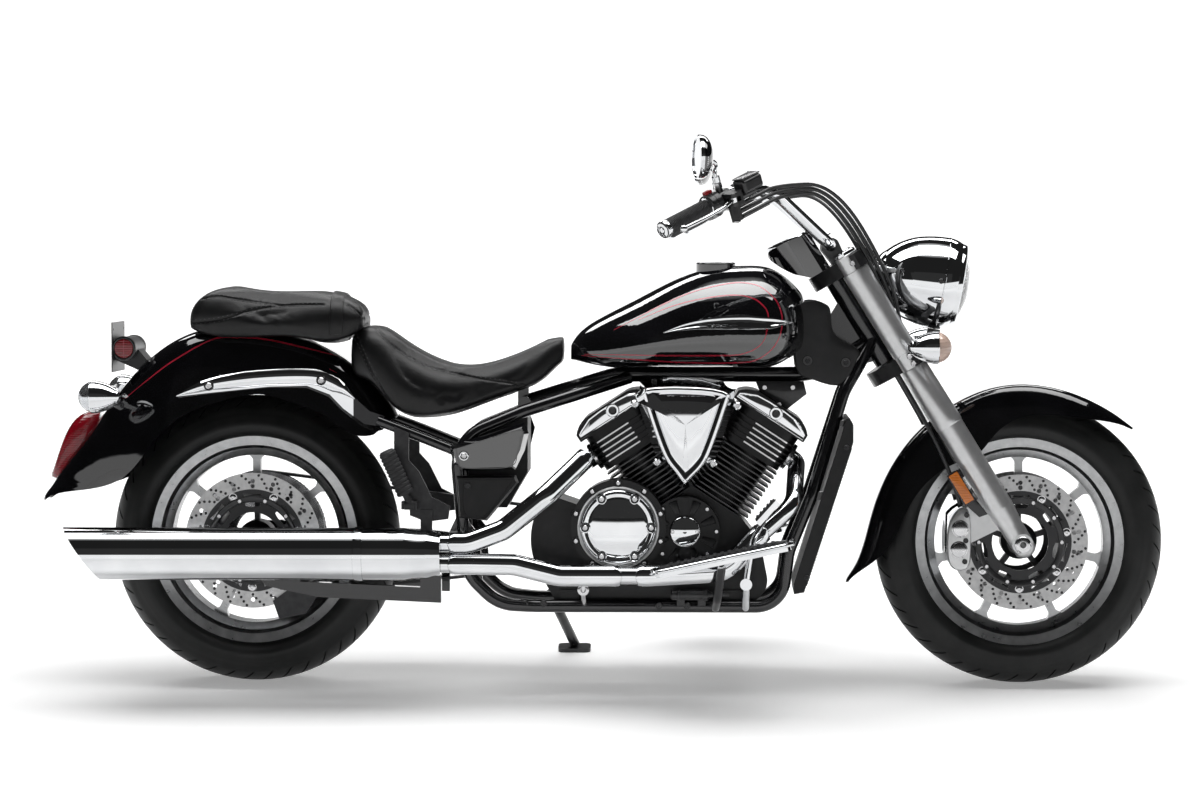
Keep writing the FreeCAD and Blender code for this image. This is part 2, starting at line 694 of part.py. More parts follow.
# Mirror: an oval dish on a bent stem that stands in the lever clamp.
def mirrors():
    inner = -number(size.grip_length) - 2 - number(size.housing_length)
    foot = fork_frame.multVec(grip_frame().multVec(point(inner - 12, 2, 40 + number(size.part_gap))))
    up = fork_frame.Rotation.multVec(grip_frame().Rotation.multVec(FreeCAD.Vector(0, 0, 1)))
    centre = foot + point(-34, -50, size.mirror_rise - 8)
    dish = Part.makeSphere(1)
    grow = FreeCAD.Matrix()
    grow.scale(number(size.mirror_depth), number(size.mirror_width) / 2, number(size.mirror_height) / 2)
    dish = dish.transformGeometry(grow)
    dish = dish.cut(Part.makeBox(200, 200, 200, FreeCAD.Vector(-200, -100, -100)))
    rim = Part.makeCylinder(1, 1)
    grow = FreeCAD.Matrix()
    grow.scale(number(size.mirror_height) / 2, number(size.mirror_width) / 2, 6)
    rim = rim.transformGeometry(grow)
    rim.Placement = FreeCAD.Placement(FreeCAD.Vector(-5.9, 0, 0), FreeCAD.Rotation(FreeCAD.Vector(0, 1, 0), 90))
    dish = dish.fuse(rim)
    dish.Placement = FreeCAD.Placement(centre, FreeCAD.Rotation(FreeCAD.Vector(0, 0, 1), 8))
    stem = tube([foot, foot + up * 26, centre + point(34, 14, -14), centre + point(12, 2, -2)], 5, 30)
    base = Part.makeCylinder(9, 12, foot, up)
    both(feature(dish.fuse([stem, base]).removeSplitter(), "mirror"), "mirrors")


# Instrument pod: a teardrop shell behind the bar, on the top clamp.
def gauge_pod():
    body = new_body("gauge_pod")
    top = size.clamp_high + size.clamp_thickness + size.part_gap
    side = [
        (-88, top), (-41, top), (-41, top + 72), (-48, top + 88, 12), (-136, top + 98, 320),
        (-146, top + 84, 12), (-116, top + 26, 200),
    ]
    pad(body, outline(body, "XZ_Plane", side, name="side"), size.pod_width, True)
    plan = outline(body, "XY_Plane", [
        (-170, -size.pod_width), (-20, -size.pod_width), (-20, -size.pod_width * 0.36),
        (-60, -size.pod_width * 0.5, -60), (-146, 0, -70), (-60, size.pod_width * 0.5, -70),
        (-20, size.pod_width * 0.36, -60), (-20, size.pod_width), (-170, size.pod_width),
    ], size.clamp_high - 20, "plan")
    pocket(body, plan, 300, reverse=True)
    return node(body, "gauge_pod", fork_frame)


lamp_frame = fork_frame * FreeCAD.Placement(
    point(size.lamp_ahead, 0, size.lamp_height), FreeCAD.Rotation(FreeCAD.Vector(0, 1, 0), number(size.lamp_tilt)))


# Headlamp: a bullet shell with a rim, and a bulged lens.
def headlamp():
    shell = new_body("headlamp_shell")
    wall = size.lamp_wall
    back = size.lamp_shoulder + size.lamp_depth
    tail = size.lamp_radius * 0.5
    profile = [
        (-size.lamp_shoulder, size.lamp_radius, 62), (-size.lamp_shoulder - 70, size.lamp_radius * 0.9, 260),
        (-back + 26, tail, 150), (-back, 0, dome(tail, 26)), (-back + 40, 0),
        (-size.lamp_shoulder, size.lamp_radius - wall * 4), (-9, size.lamp_rim - wall * 2),
        (0, size.lamp_rim - wall * 2), (3, size.lamp_rim - 4), (0, size.lamp_rim, 4),
    ]
    revolve(shell, outline(shell, "XZ_Plane", profile, name="bullet"), "H_Axis")
    node(shell, "headlamp_shell", lamp_frame)
    lens = new_body("headlamp_lens")
    edge = size.lamp_rim - wall * 2 - size.part_gap
    bulge = size.lens_bulge
    profile = [(-8, 0), (bulge, 0), (2, edge, dome(edge, bulge - 2)), (-8, edge)]
    revolve(lens, outline(lens, "XZ_Plane", profile, name="lens"), "H_Axis")
    node(lens, "headlamp_lens", lamp_frame)


# Turn signal: a bullet housing with a domed lens, on a short stalk.
def signal(name):
    body = new_body(name)
    long = size.signal_length
    wide = size.signal_radius
    tail = wide * 0.5
    glass = wide * 0.94
    profile = [
        (-long * 0.62, 0, dome(tail, long * 0.12)), (long * 0.34, 0), (long * 0.08, glass, dome(glass, long * 0.26)),
        (long * 0.04, glass), (long * 0.04, wide), (-long * 0.06, wide), (-long * 0.5, tail, 90),
    ]
    revolve(body, outline(body, "XZ_Plane", profile, name="bullet"), "H_Axis")
    return body


def front_signals():
    body = signal("front_signal")
    bar = fork_frame.multVec(point(size.lamp_stalk_ahead, 0, size.clamp_low + 15))
    body.Placement = FreeCAD.Placement(FreeCAD.Vector(bar.x + 1, -number(size.front_signal_spread), bar.z), FreeCAD.Rotation())
    both(body, "front_signals")


# A fender is lofted through arched sections set round the axle.
def arch(angle, radius, half, depth, wall, power):
    out = FreeCAD.Vector(math.cos(math.radians(number(angle))), 0, math.sin(math.radians(number(angle))))
    steps = [-1, -0.97, -0.86, -0.6, -0.3, 0, 0.3, 0.6, 0.86, 0.97, 1]

    def line(radius, half, depth):
        places = [out * (radius - depth * abs(f) ** power) + FreeCAD.Vector(0, half * f, 0) for f in steps]
        curve = Part.BSplineCurve()
        curve.interpolate(places)
        return curve, places

    outer, outer_ends = line(number(radius), number(half), number(depth))
    if not wall:
        base = Part.LineSegment(outer_ends[-1], outer_ends[0])
        return Part.Wire([outer.toShape(), base.toShape()])
    wall = number(wall)
    inner, inner_ends = line(number(radius) - wall, number(half) - wall, number(depth) - wall)
    right = Part.LineSegment(outer_ends[-1], inner_ends[-1])
    left = Part.LineSegment(inner_ends[0], outer_ends[0])
    return Part.Wire(Part.__sortEdges__([outer.toShape(), right.toShape(), inner.toShape(), left.toShape()]))


def fender_skin(stations, tyre_radius, wall, grow=0, power=5):
    rings = [arch(a, tyre_radius + rise + grow, half + grow, depth, wall, power)
             for a, rise, half, depth in stations]
    return skin(rings)


front_fender_stations = size.table("front_fender", ["angle", "rise", "half", "depth"], [
    (45, 39, 34, 6), (51, 35.5, 56, 16), (58, 33, 69, 32), (75, 31, 77, 57), (92, 30, 77, 74),
    (103, 26, 77, 96), (115, 19, 77, 118), (130, 14, 77, 104), (148, 11, 77, 82),
    (166, 14, 77, 70), (180, 26, 76, 60), (188, 48, 70, 36), (193.5, 78, 44, 7),
])
rear_fender_stations = size.table("rear_fender", ["angle", "rise", "half", "depth"], [
    (169.7, 165, 44, 8), (165.8, 153, 70, 43), (158, 135, 96, 118), (149, 121, 110, 132),
    (138, 121, 117, 134), (120, 146, 121, 150), (106, 160, 122, 164), (89, 147, 122, 142),
    (75, 137, 122, 136), (62, 126, 120, 124), (50, 112, 116, 110), (41, 100, 108, 60),
])


def fenders():
    wall = size.fender_wall
    shape = fender_skin(front_fender_stations, size.front_tyre_radius, wall, 0, 6)
    node(feature(shape, "front_fender"), "front_fender", front_frame)
    shape = fender_skin(rear_fender_stations, size.rear_tyre_radius, wall)
    node(feature(shape, "rear_fender"), "rear_fender", rear_frame)


# A polished rail on each side carries the rear fender from the seat rail.
rail_outline = size.table("rail", ["along", "height"], [
    (-164, 638), (-93, 646), (41, 660), (124, 662), (174, 643), (204, 612), (250, 578), (292, 572),
    (292, 596), (262, 606), (226, 638), (191, 672), (149, 695), (91, 698), (-10, 691), (-93, 674), (-143, 653),
])


def fender_rails():
    body = new_body("fender_rail")
    outside = size.hip_spread + 3 - 11 - size.part_gap
    pad(body, outline(body, "XZ_Plane", rail_outline, outside - 30, "rail"), 30)
    doc.recompute()
    under = fender_skin(rear_fender_stations, size.rear_tyre_radius, 0, size.part_gap)
    under.Placement = rear_frame
    rail = max(body.Shape.cut(under).Solids, key=lambda solid: solid.Volume)
    both(feature(rail, "rail"), "fender_rails")


# Front caliper: a ribbed two-piece block that straddles the disc.
def front_caliper():
    body = new_body("front_caliper")
    near, far = -size.disc_radius + 37, -size.disc_radius - 11
    side = [
        (near, -46), (near, 66), (near - 18, 80), (far + 2, 58, 60), (far, -38), (far + 22, -60, 50),
    ]
    sketch = outline(body, "XZ_Plane", side, size.front_disc_place - size.caliper_width / 2, "side")
    pad(body, sketch, size.caliper_width)
    slot = circle(body, "XZ_Plane", 0, 0, size.caliper_radius, size.front_disc_place - 4.5, "slot")
    pocket(body, slot, 9, reverse=True)
    return body


def calipers():
    both(front_caliper(), "front_calipers", front_frame)


# Frame: the head tube and backbone, and a cradle tube on each side.
def head_point(height, aside=0):
    return fork_frame.multVec(point(-size.fork_offset, aside, height))


def seat_mount():
    return Part.makeBox(24, 44, 42, point(size.pivot_ahead + 112, -22, size.spine_height - 62))


def frame_parts():
    low = size.clamp_low + size.clamp_thickness + size.head_gap
    high = size.clamp_high - size.head_gap
    along = (head_point(high) - head_point(low)).normalize()
    outside = number(size.stem_radius + size.head_wall)
    head = Part.makeCylinder(outside, number(high - low), head_point(low), along)
    steering = head.copy()
    bore = Part.makeCylinder(number(size.stem_radius + size.running_gap), number(high - low), head_point(low), along)
    middle = head_point(low + 62)
    spine = [middle, point(size.spine_front, 0, size.spine_height), point(size.spine_rear, 0, size.spine_height),
             point(size.pivot_ahead + 130, 0, size.spine_height - 62)]
    gusset = Part.makePolygon([head_point(low + 8), head_point(high - 30), point(size.spine_front - 40, 0, size.spine_height + 12),
                               point(size.spine_front - 40, 0, size.spine_height - 12), head_point(low + 8)])
    gusset = Part.Face(gusset).extrude(FreeCAD.Vector(0, 20, 0))
    gusset.translate(FreeCAD.Vector(0, -10, 0))
    backbone = tube(spine, size.spine_radius, 160).fuse([head, gusset]).cut(bore)
    cross = tube([point(size.pivot_ahead + 130, -92, size.spine_height - 62), point(size.pivot_ahead + 130, 92, size.spine_height - 62)], 15)
    backbone = backbone.fuse([cross, seat_mount()]).removeSplitter()
    node(feature(backbone, "frame_backbone"), "frame_backbone")
    wide, hip = size.cradle_spread, size.hip_spread
    route = [
        head_point(low + 58, -14), fork_frame.multVec(point(-158, -64, size.clamp_low + 30)),
        point(size.crank_ahead + 262, -wide + 8, 420), point(size.crank_ahead + 212, -wide, 300),
        point(size.crank_ahead + 196, -wide, size.rail_height),
        point(size.pivot_ahead + 150, -wide, size.rail_height), point(size.pivot_ahead + 74, -hip - 4, 184),
        point(size.pivot_ahead + 6, -hip, 250),
        point(size.pivot_ahead - 20, -hip, 545), point(size.pivot_ahead + 130, -hip + 34, 606),
        point(size.spine_rear + 30, -22, size.spine_height - 6),
    ]
    loop = tube(route, size.rail_radius, 90).cut(backbone).cut(steering)
    plate = Part.makePolygon([point(x, -hip - 6, z) for x, z in (
        (size.pivot_ahead - 34, size.pivot_height - 40), (size.pivot_ahead + 40, size.pivot_height - 70),
        (size.pivot_ahead + 34, size.pivot_height + 34), (size.pivot_ahead - 10, size.pivot_height + 90),
        (size.pivot_ahead - 34, size.pivot_height + 40), (size.pivot_ahead - 34, size.pivot_height - 40))])
    plate = Part.Face(plate).extrude(FreeCAD.Vector(0, 12, 0))
    bolt = Part.makeCylinder(number(size.pivot_bolt + size.running_gap), 80,
                             point(size.pivot_ahead, -hip - 40, size.pivot_height), FreeCAD.Vector(0, 1, 0))
    seat_rail = tube([point(size.pivot_ahead - 20, -hip, 520), point(size.pivot_ahead - 110, -hip - 3, 556),
                      point(size.pivot_ahead - 190, -hip - 3, 586)], 11)
    tabs = []
    for aside, places in (
        (-104, ((1228, 412), (1249, 412), (1254.8, 430), (1228, 430))),
        (-76, ((1274, 572), (1300, 572), (1304.6, 586), (1278, 586))),
    ):
        ring = [point(x, aside - 6, z) for x, z in places]
        tabs.append(Part.Face(Part.makePolygon(ring + ring[:1])).extrude(FreeCAD.Vector(0, 12, 0)))
    loop = loop.fuse([plate, seat_rail] + tabs).cut(bolt).removeSplitter()
    pair(feature(loop, "cradle"), "frame_cradle")


# Swingarm: two arms, a pivot tube with its bolt, and the axle's slots.
def swingarm():
    body = new_body("swingarm")
    front, pivot, back = size.pivot_ahead, size.pivot_height, rear_axle_height
    arm = [
        (front - 50, size.arm_low - 4), (front - 50, pivot + 22), (140, back - 2, 900), (40, back + 30),
        (-24, back + 28), (-24, back - 28, 36), (36, size.arm_low + 32), (150, size.arm_low + 8),
    ]
    window = [(110, size.arm_low + 42), (front - 96, size.arm_low + 30), (front - 96, pivot - 24), (128, pivot - 20)]
    inner = size.arm_spread - size.arm_width / 2
    for side in (-1, 1):
        start = size.arm_spread * side - size.arm_width / 2
        pad(body, outline(body, "XZ_Plane", arm, start, "arm"), size.arm_width)
    pocket(body, outline(body, "XZ_Plane", window, name="window"), size.arm_spread * 3, True)
    brace = circle(body, "XZ_Plane", front - 72, pivot - 8, 20, name="brace")
    pad(body, brace, size.arm_spread * 2 - size.arm_width + 4, True)
    lug = [(front - 80, pivot - 26), (front, pivot - 22), (front + 2, pivot + 22, 25), (front - 80, pivot + 8)]
    for side in (-1, 1):
        start = size.lug_spread * side - 10
        pad(body, outline(body, "XZ_Plane", lug, start, "lug"), 20)
    hole = circle(body, "XZ_Plane", 0, back, size.axle_radius + size.running_gap, name="axle_hole")
    pocket(body, hole, size.arm_spread * 3, True)
    hole = circle(body, "XZ_Plane", front, pivot, size.pivot_bolt + size.running_gap, name="pivot_hole")
    pocket(body, hole, size.arm_spread * 3, True)
    node(body, "swingarm")
    bolt = new_body("pivot_bolt")
    reach = size.hip_spread + size.rail_radius + size.part_gap
    profile = [
        (-reach - 8, 0), (reach + 8, 0), (reach + 8, size.pivot_bolt + 8), (reach, size.pivot_bolt + 8),
        (reach, size.pivot_bolt), (-reach, size.pivot_bolt), (-reach, size.pivot_bolt + 8), (-reach - 8, size.pivot_bolt + 8),
    ]
    revolve(bolt, outline(bolt, "YZ_Plane", profile, name="bolt"), "H_Axis")
    node(bolt, "pivot_bolt", FreeCAD.Placement(point(front, 0, pivot), FreeCAD.Rotation()))
    collar_end = inner - size.part_gap
    axle("rear_axle", size.rear_hub_width, size.arm_spread + size.arm_width / 2 + 4, collar_end, 0, rear_frame)


def engine():
    case = new_body("crankcase")
    v = size.vee_half_angle
    reach = size.barrel_start
    half = size.deck_half
    right_in = (reach * sine(v) - half * cosine(v), reach * cosine(v) + half * sine(v))
    right_out = (reach * sine(v) + half * cosine(v), reach * cosine(v) - half * sine(v))
    valley = reach / cosine(v)
    side = [
        (-right_out[0], right_out[1]), (-134, 18), (-218, 60), (-322, 96), (-340, 60), (-340, -70, 150), (-300, -size.sump_depth),
        (130, -size.sump_depth), (166, -90, 50), (150, -10), (right_out[0], right_out[1]), (0, valley),
    ]
    pad(case, outline(case, "XZ_Plane", side, name="side"), size.case_width, True)
    reach = size.cradle_spread - size.rail_radius - size.part_gap
    drop = size.rail_height - size.crank_height
    for behind in (-290, 70):
        mount = [(behind, drop - 8), (behind + 40, drop - 8), (behind + 40, drop + 34), (behind, drop + 34)]
        pad(case, outline(case, "XZ_Plane", mount, name="mount"), reach * 2, True)
    node(case, "crankcase", crank_frame)
    front = cylinder("front_cylinder", 1)
    rear = cylinder("rear_cylinder", -1)
    node(group([front, rear], "cylinders"), "cylinders", crank_frame)
    front = cylinder_head("front_head", 1)
    rear = cylinder_head("rear_head", -1)
    node(group([front, rear], "cylinder_heads"), "cylinder_heads", crank_frame)
    covers()


def vee_placement(side):
    turn = FreeCAD.Rotation(FreeCAD.Vector(0, 1, 0), number(size.vee_half_angle) * side)
    return FreeCAD.Placement(FreeCAD.Vector(0, 0, 0), turn)


def fin_outline(body, height, long, wide, name):
    corner = size.fin_corner
    return outline(body, "XY_Plane", [
        (-long / 2, -wide / 2 + corner), (-long / 2 + corner, -wide / 2, corner * 1.02),
        (long / 2 - corner, -wide / 2), (long / 2, -wide / 2 + corner, corner * 1.02),
        (long / 2, wide / 2 - corner), (long / 2 - corner, wide / 2, corner * 1.02),
        (-long / 2 + corner, wide / 2), (-long / 2, wide / 2 - corner, corner * 1.02),
    ], height, name)


# Keeps each finned part on its own side of the plane that halves the vee.
def vee_cut(body, side):
    slope = sine(size.vee_half_angle) / cosine(size.vee_half_angle)
    gap = 4 / cosine(size.vee_half_angle)
    low, high = size.barrel_start - 20, size.barrel_start + 330
    corners = [
        (-low * slope + gap, low), (-high * slope + gap, high), (-400, high), (-400, low),
    ]
    if side < 0:
        corners = [(-x, z) for x, z in corners]
    pocket(body, outline(body, "XZ_Plane", corners, name="vee_side"), 400, True)


# Finned barrel
def cylinder(name, side):
    body = new_body(name)
    start = size.barrel_start + size.part_gap
    pad(body, circle(body, "XY_Plane", 0, 0, size.barrel_radius, start, "barrel"), size.barrel_length - size.part_gap * 2)
    fin = pad(body, fin_outline(body, start + 4, size.fin_length, size.fin_width, "fin"), size.fin_thickness)
    row_of(body, fin, "Z_Axis", size.fin_count, size.fin_pitch)
    vee_cut(body, side)
    body.Placement = vee_placement(side)
    return body


# Finned head with its exhaust port and a polished rocker cover
def cylinder_head(name, side):
    body = new_body(name)
    start = size.barrel_start + size.barrel_length
    long, wide = size.fin_length + 10, size.fin_width + 8
    pad(body, fin_outline(body, start, long - 16, wide - 16, "block"), size.head_length)
    fin = pad(body, fin_outline(body, start + 14, long, wide, "fin"), size.fin_thickness)
    row_of(body, fin, "Z_Axis", size.head_fin_count, size.head_fin_pitch)
    top = start + size.head_length
    cover = outline(body, "XZ_Plane", [
        (-long / 2 - 4, top), (long / 2 + 4, top), (long / 2 + 4, top + size.rocker_height * 0.45),
        (long * 0.3, top + size.rocker_height, 60), (-long * 0.3, top + size.rocker_height),
        (-long / 2 - 4, top + size.rocker_height * 0.45, 60),
    ], name="rocker_cover")
    pad(body, cover, wide + 6, True)
    vee_cut(body, side)
    port = circle(body, "YZ_Plane", -size.port_aside, start + size.port_height, size.header_radius + size.part_gap,
                  (long / 2 - 8) * side, "port")
    pocket(body, port, 20, reverse=side > 0)
    body.Placement = vee_placement(side)
    return body


# Side covers of the engine: clutch and crank covers on the right, generator on the left.
def covers():
    face = size.case_width / 2 + size.part_gap
    right = new_body("right_cover")
    pad(right, circle(right, "XZ_Plane", size.clutch_behind, size.clutch_rise, size.clutch_radius, face, "clutch_rim"),
        size.clutch_depth)
    pad(right, circle(right, "XZ_Plane", size.crank_cover_behind, size.crank_cover_rise, size.crank_cover_radius, face, "crank_rim"),
        size.crank_cover_depth)
    pocket(right, circle(right, "XZ_Plane", size.clutch_behind, size.clutch_rise, size.clutch_cap_radius + 3,
                         face + size.clutch_depth - 8, "cap_seat"), 8, reverse=True)
    rib = outline(right, "XZ_Plane", [
        (size.crank_cover_behind - 4, size.crank_cover_rise + 36), (size.crank_cover_behind + 4, size.crank_cover_rise + 36),
        (size.crank_cover_behind + 7, size.crank_cover_rise + size.crank_cover_radius - 2),
        (size.crank_cover_behind - 7, size.crank_cover_rise + size.crank_cover_radius - 2)],
        face + size.crank_cover_depth, "rib")
    pad(right, rib, 7)
    cap = new_body("clutch_cap")
    depth = face + size.clutch_depth - 8 + size.part_gap
    edge = size.clutch_cap_radius - 16
    profile = [(0, 0), (size.clutch_cap_radius, 0), (size.clutch_cap_radius, 12),
               (size.clutch_cap_radius - 9, 21, 10), (edge, 19), (0, 26, dome(edge, 7))]
    revolve(cap, outline(cap, "XZ_Plane", profile, name="cap"), "V_Axis")
    cap.Placement = FreeCAD.Placement(point(size.clutch_behind, -depth, size.clutch_rise), FreeCAD.Rotation(FreeCAD.Vector(1, 0, 0), 90))
    small = new_body("crank_cap")
    depth = face + size.crank_cover_depth + size.part_gap
    edge = size.crank_cap_radius - 5
    profile = [(0, 0), (size.crank_cap_radius, 0), (size.crank_cap_radius, 10), (edge, 15, 6), (0, 19, dome(edge, 4))]
    revolve(small, outline(small, "XZ_Plane", profile, name="cap"), "V_Axis")
    small.Placement = FreeCAD.Placement(point(size.crank_cover_behind, -depth, size.crank_cover_rise), FreeCAD.Rotation(FreeCAD.Vector(1, 0, 0), 90))
    left = new_body("left_cover")
    pad(left, circle(left, "XZ_Plane", size.crank_cover_behind - 10, size.crank_cover_rise, size.clutch_radius - 2, -face, "generator"),
        size.clutch_depth - 12, reverse=True)
    pad(left, circle(left, "XZ_Plane", size.crank_cover_behind - 10, size.crank_cover_rise, size.clutch_radius - 30, -face, "generator_step"),
        size.clutch_depth, reverse=True)
    pulley = outline(left, "XZ_Plane", [
        (size.clutch_behind + 84, size.clutch_rise - 74), (size.clutch_behind + 84, size.clutch_rise + 44),
        (size.clutch_behind - 60, size.clutch_rise + 26, 400), (size.clutch_behind - 60, size.clutch_rise - 108, 74)],
        -(size.pulley_place + size.pulley_width / 2 + 4), "pulley_cover")
    pad(left, pulley, 12, reverse=True)
    node(group([right, left], "engine_covers"), "engine_covers", crank_frame)
    node(group([cap, small], "engine_caps"), "engine_caps", crank_frame)


# Air cleaner: a V-shaped polished cover between the cylinders, on a back plate.
def air_cleaner():
    body = new_body("air_cleaner")
    face = [
        (-125, 317), (-116, 345, 20), (-50, 354), (25, 352), (69, 345), (97, 328, 26), (95, 301, 26), (51, 174),
        (-2, 112), (-19, 107, 14), (-32, 116, 14), (-81, 187),
    ]
    pad(body, outline(body, "XZ_Plane", face, size.air_cleaner_inner, "cover"), size.air_cleaner_depth, taper=-12)
    stub = circle(body, "XZ_Plane", -8, 262, 34, 0, "duct")
    pad(body, stub, size.air_cleaner_inner + 2)
    manifold = outline(body, "XZ_Plane", [(-50, 238), (50, 238), (81, 286), (-81, 286)], name="manifold")
    pad(body, manifold, 56, True)
    node(body, "air_cleaner", crank_frame)


def radiator():
    body = new_body("radiator")
    side = [(345, 264), (353, 250), (353, 211), (246, -118), (224, -122), (223, -100), (338, 262)]
    pad(body, outline(body, "XZ_Plane", side, name="core"), size.radiator_width, True)
    return node(body, "radiator", crank_frame)


# Exhaust: two headers that join a slash-cut muffler on the right.
def exhaust():
    side = -size.muffler_aside
    block = (size.fin_length + 10) / 2 - 8 + size.part_gap
    height = size.barrel_start + size.barrel_length + size.port_height

    def port(way, out):
        local = point((block + out) * way, -size.port_aside, height)
        return crank_frame.multVec(vee_placement(way).multVec(local))

    def joint(rise, out):
        return point(size.muffler_front + size.part_gap + out, side, size.muffler_height + rise)

    front = [
        port(1, 0), port(1, 24), point(1190, -158, 404), point(1108, -184, 334), point(1040, -198, 262),
        point(874, -209, 253), point(680, -212, 253), point(584, -216, 277), joint(-21, 60), joint(-21, 0),
    ]
    rear = [
        port(-1, 0), port(-1, 30), point(724, -160, 494), point(650, -204, 424),
        point(560, -216, 352), joint(24, 60), joint(24, 0),
    ]
    lead = feature(tube(front, size.header_radius, 70), "header_front")
    back = feature(tube(rear, size.header_radius, 70), "header_rear")
    node(group([lead, back], "exhaust_headers"), "exhaust_headers")
    body = new_body("muffler")
    long = size.muffler_front - size.muffler_tail
    r = size.muffler_radius
    profile = [
        (0, size.outlet_radius), (0, r), (long - 78, r), (long - 30, r * 0.93, 160), (long, r * 0.8),
        (long, 0), (size.outlet_depth, 0), (size.outlet_depth, size.outlet_radius),
    ]
    revolve(body, outline(body, "XZ_Plane", profile, name="tube"), "H_Axis")
    cut = outline(body, "XZ_Plane", [(-30, r + 20), (-30, -r - 20), (104, -r - 20), (-8, r + 20)], name="slash")
    pocket(body, cut, r * 4, True)
    place = FreeCAD.Placement(point(size.muffler_tail, side, size.muffler_height), FreeCAD.Rotation())
    node(body, "muffler", place)


# Tank and seats are lofted through rounded sections set along the machine.
def saddle_ring(x, low, high, half, shape):
    places = [FreeCAD.Vector(number(x), number(half) * a, number(low) + (number(high) - number(low)) * b) for a, b in shape]
    return smooth_ring(places)


tank_shape = [
    (0, 0), (0.55, 0), (0.86, 0.07), (0.985, 0.24), (0.97, 0.46), (0.82, 0.7), (0.55, 0.88), (0.26, 0.975),
    (0, 1), (-0.26, 0.975), (-0.55, 0.88), (-0.82, 0.7), (-0.97, 0.46), (-0.985, 0.24), (-0.86, 0.07), (-0.55, 0),
]
seat_shape = [
    (0, 0), (0.6, 0), (0.93, 0.05), (1, 0.3), (0.97, 0.62), (0.8, 0.88), (0.45, 0.98), (0, 1),
    (-0.45, 0.98), (-0.8, 0.88), (-0.97, 0.62), (-1, 0.3), (-0.93, 0.05), (-0.6, 0),
]
tank_stations = size.table("tank", ["along", "low", "high", "half"], [
    (700, 716, 752, 30), (722, 712, 780, 58), (763, 704, 808, 92), (848, 701.5, 852, 132), (933, 701.5, 895, 152),
    (1009, 701.5, 919, 160), (1086, 701.5, 925, 158), (1135, 703, 921, 148), (1172, 716, 902, 126), (1200, 734, 876, 94),
    (1217, 760, 840, 48),
])
rider_stations = size.table("rider_seat", ["along", "low", "high", "half"], [
    (214, 700, 768, 84), (246, 672, 792, 112), (290, 634, 784, 132), (336, 596, 752, 142), (388, 592, 722, 146),
    (440, 600, 704, 142), (495, 618, 702, 130), (548, 636, 714, 110), (600, 652, 734, 90), (645, 676, 756, 72),
    (686, 712, 770, 44),
])
passenger_stations = size.table("passenger_seat", ["along", "low", "high", "half"], [
    (-144, 788, 826, 76), (-128, 778, 852, 94), (-98, 768, 872, 106), (0, 764, 868, 116), (100, 764, 864, 122),
    (180, 756, 862, 124), (222, 768, 852, 116), (250, 790, 824, 92),
])


def tank_and_seats():
    tank = skin([saddle_ring(*row, tank_shape) for row in tank_stations])
    cap = Part.makeCylinder(number(size.cap_radius), 40, point(1020, 0, 892))
    cap = cap.makeFillet(4, [cap.Edges[0]])
    node(feature(tank.fuse(cap).removeSplitter(), "fuel_tank"), "fuel_tank")
    under = fender_skin(rear_fender_stations, size.rear_tyre_radius, 0, size.part_gap)
    under.Placement = rear_frame
    passenger = skin([saddle_ring(*row, seat_shape) for row in passenger_stations]).cut(under)
    rider = skin([saddle_ring(*row, seat_shape) for row in rider_stations])
    rider = rider.cut(under).cut(seat_mount())
    passenger = passenger.cut(rider)
    node(feature(rider, "rider_seat"), "rider_seat")
    node(feature(passenger, "passenger_seat"), "passenger_seat")


# Body side: painted side covers, the plain box between them, and the lower covers.
def side_covers():
    cover_inner = size.hip_spread + size.rail_radius + size.part_gap
    upper = new_body("side_cover")
    face = [(438, 531), (447, 494), (466, 476), (582, 479), (603, 522), (612, 559), (603, 583)]
    pad(upper, outline(upper, "XZ_Plane", face, cover_inner, "upper"), 34, taper=-14)
    lower = new_body("lower_cover")
    face = [(454, 466), (460, 374), (521, 368), (590, 452), (584, 468)]
    pad(lower, outline(lower, "XZ_Plane", face, cover_inner, "lower"), 24, taper=-10)
    both(upper, "side_covers")
    both(lower, "lower_covers")
    box = new_body("battery_box")
    top = size.spine_height - 62 - 17 - size.part_gap
    face = [(476, 392), (560, 392), (606, 470), (606, top), (590, top), (470, 560)]
    pad(box, outline(box, "XZ_Plane", face, name="box"), size.box_width, True)
    hang = size.spine_height - 62 - 15 - size.part_gap
    for side in (-1, 1):
        strap = [(594, top - 10), (606, top - 10), (606, hang), (594, hang)]
        pad(box, outline(box, "XZ_Plane", strap, 50 * side - 10, "strap"), 20)
    node(box, "battery_box")


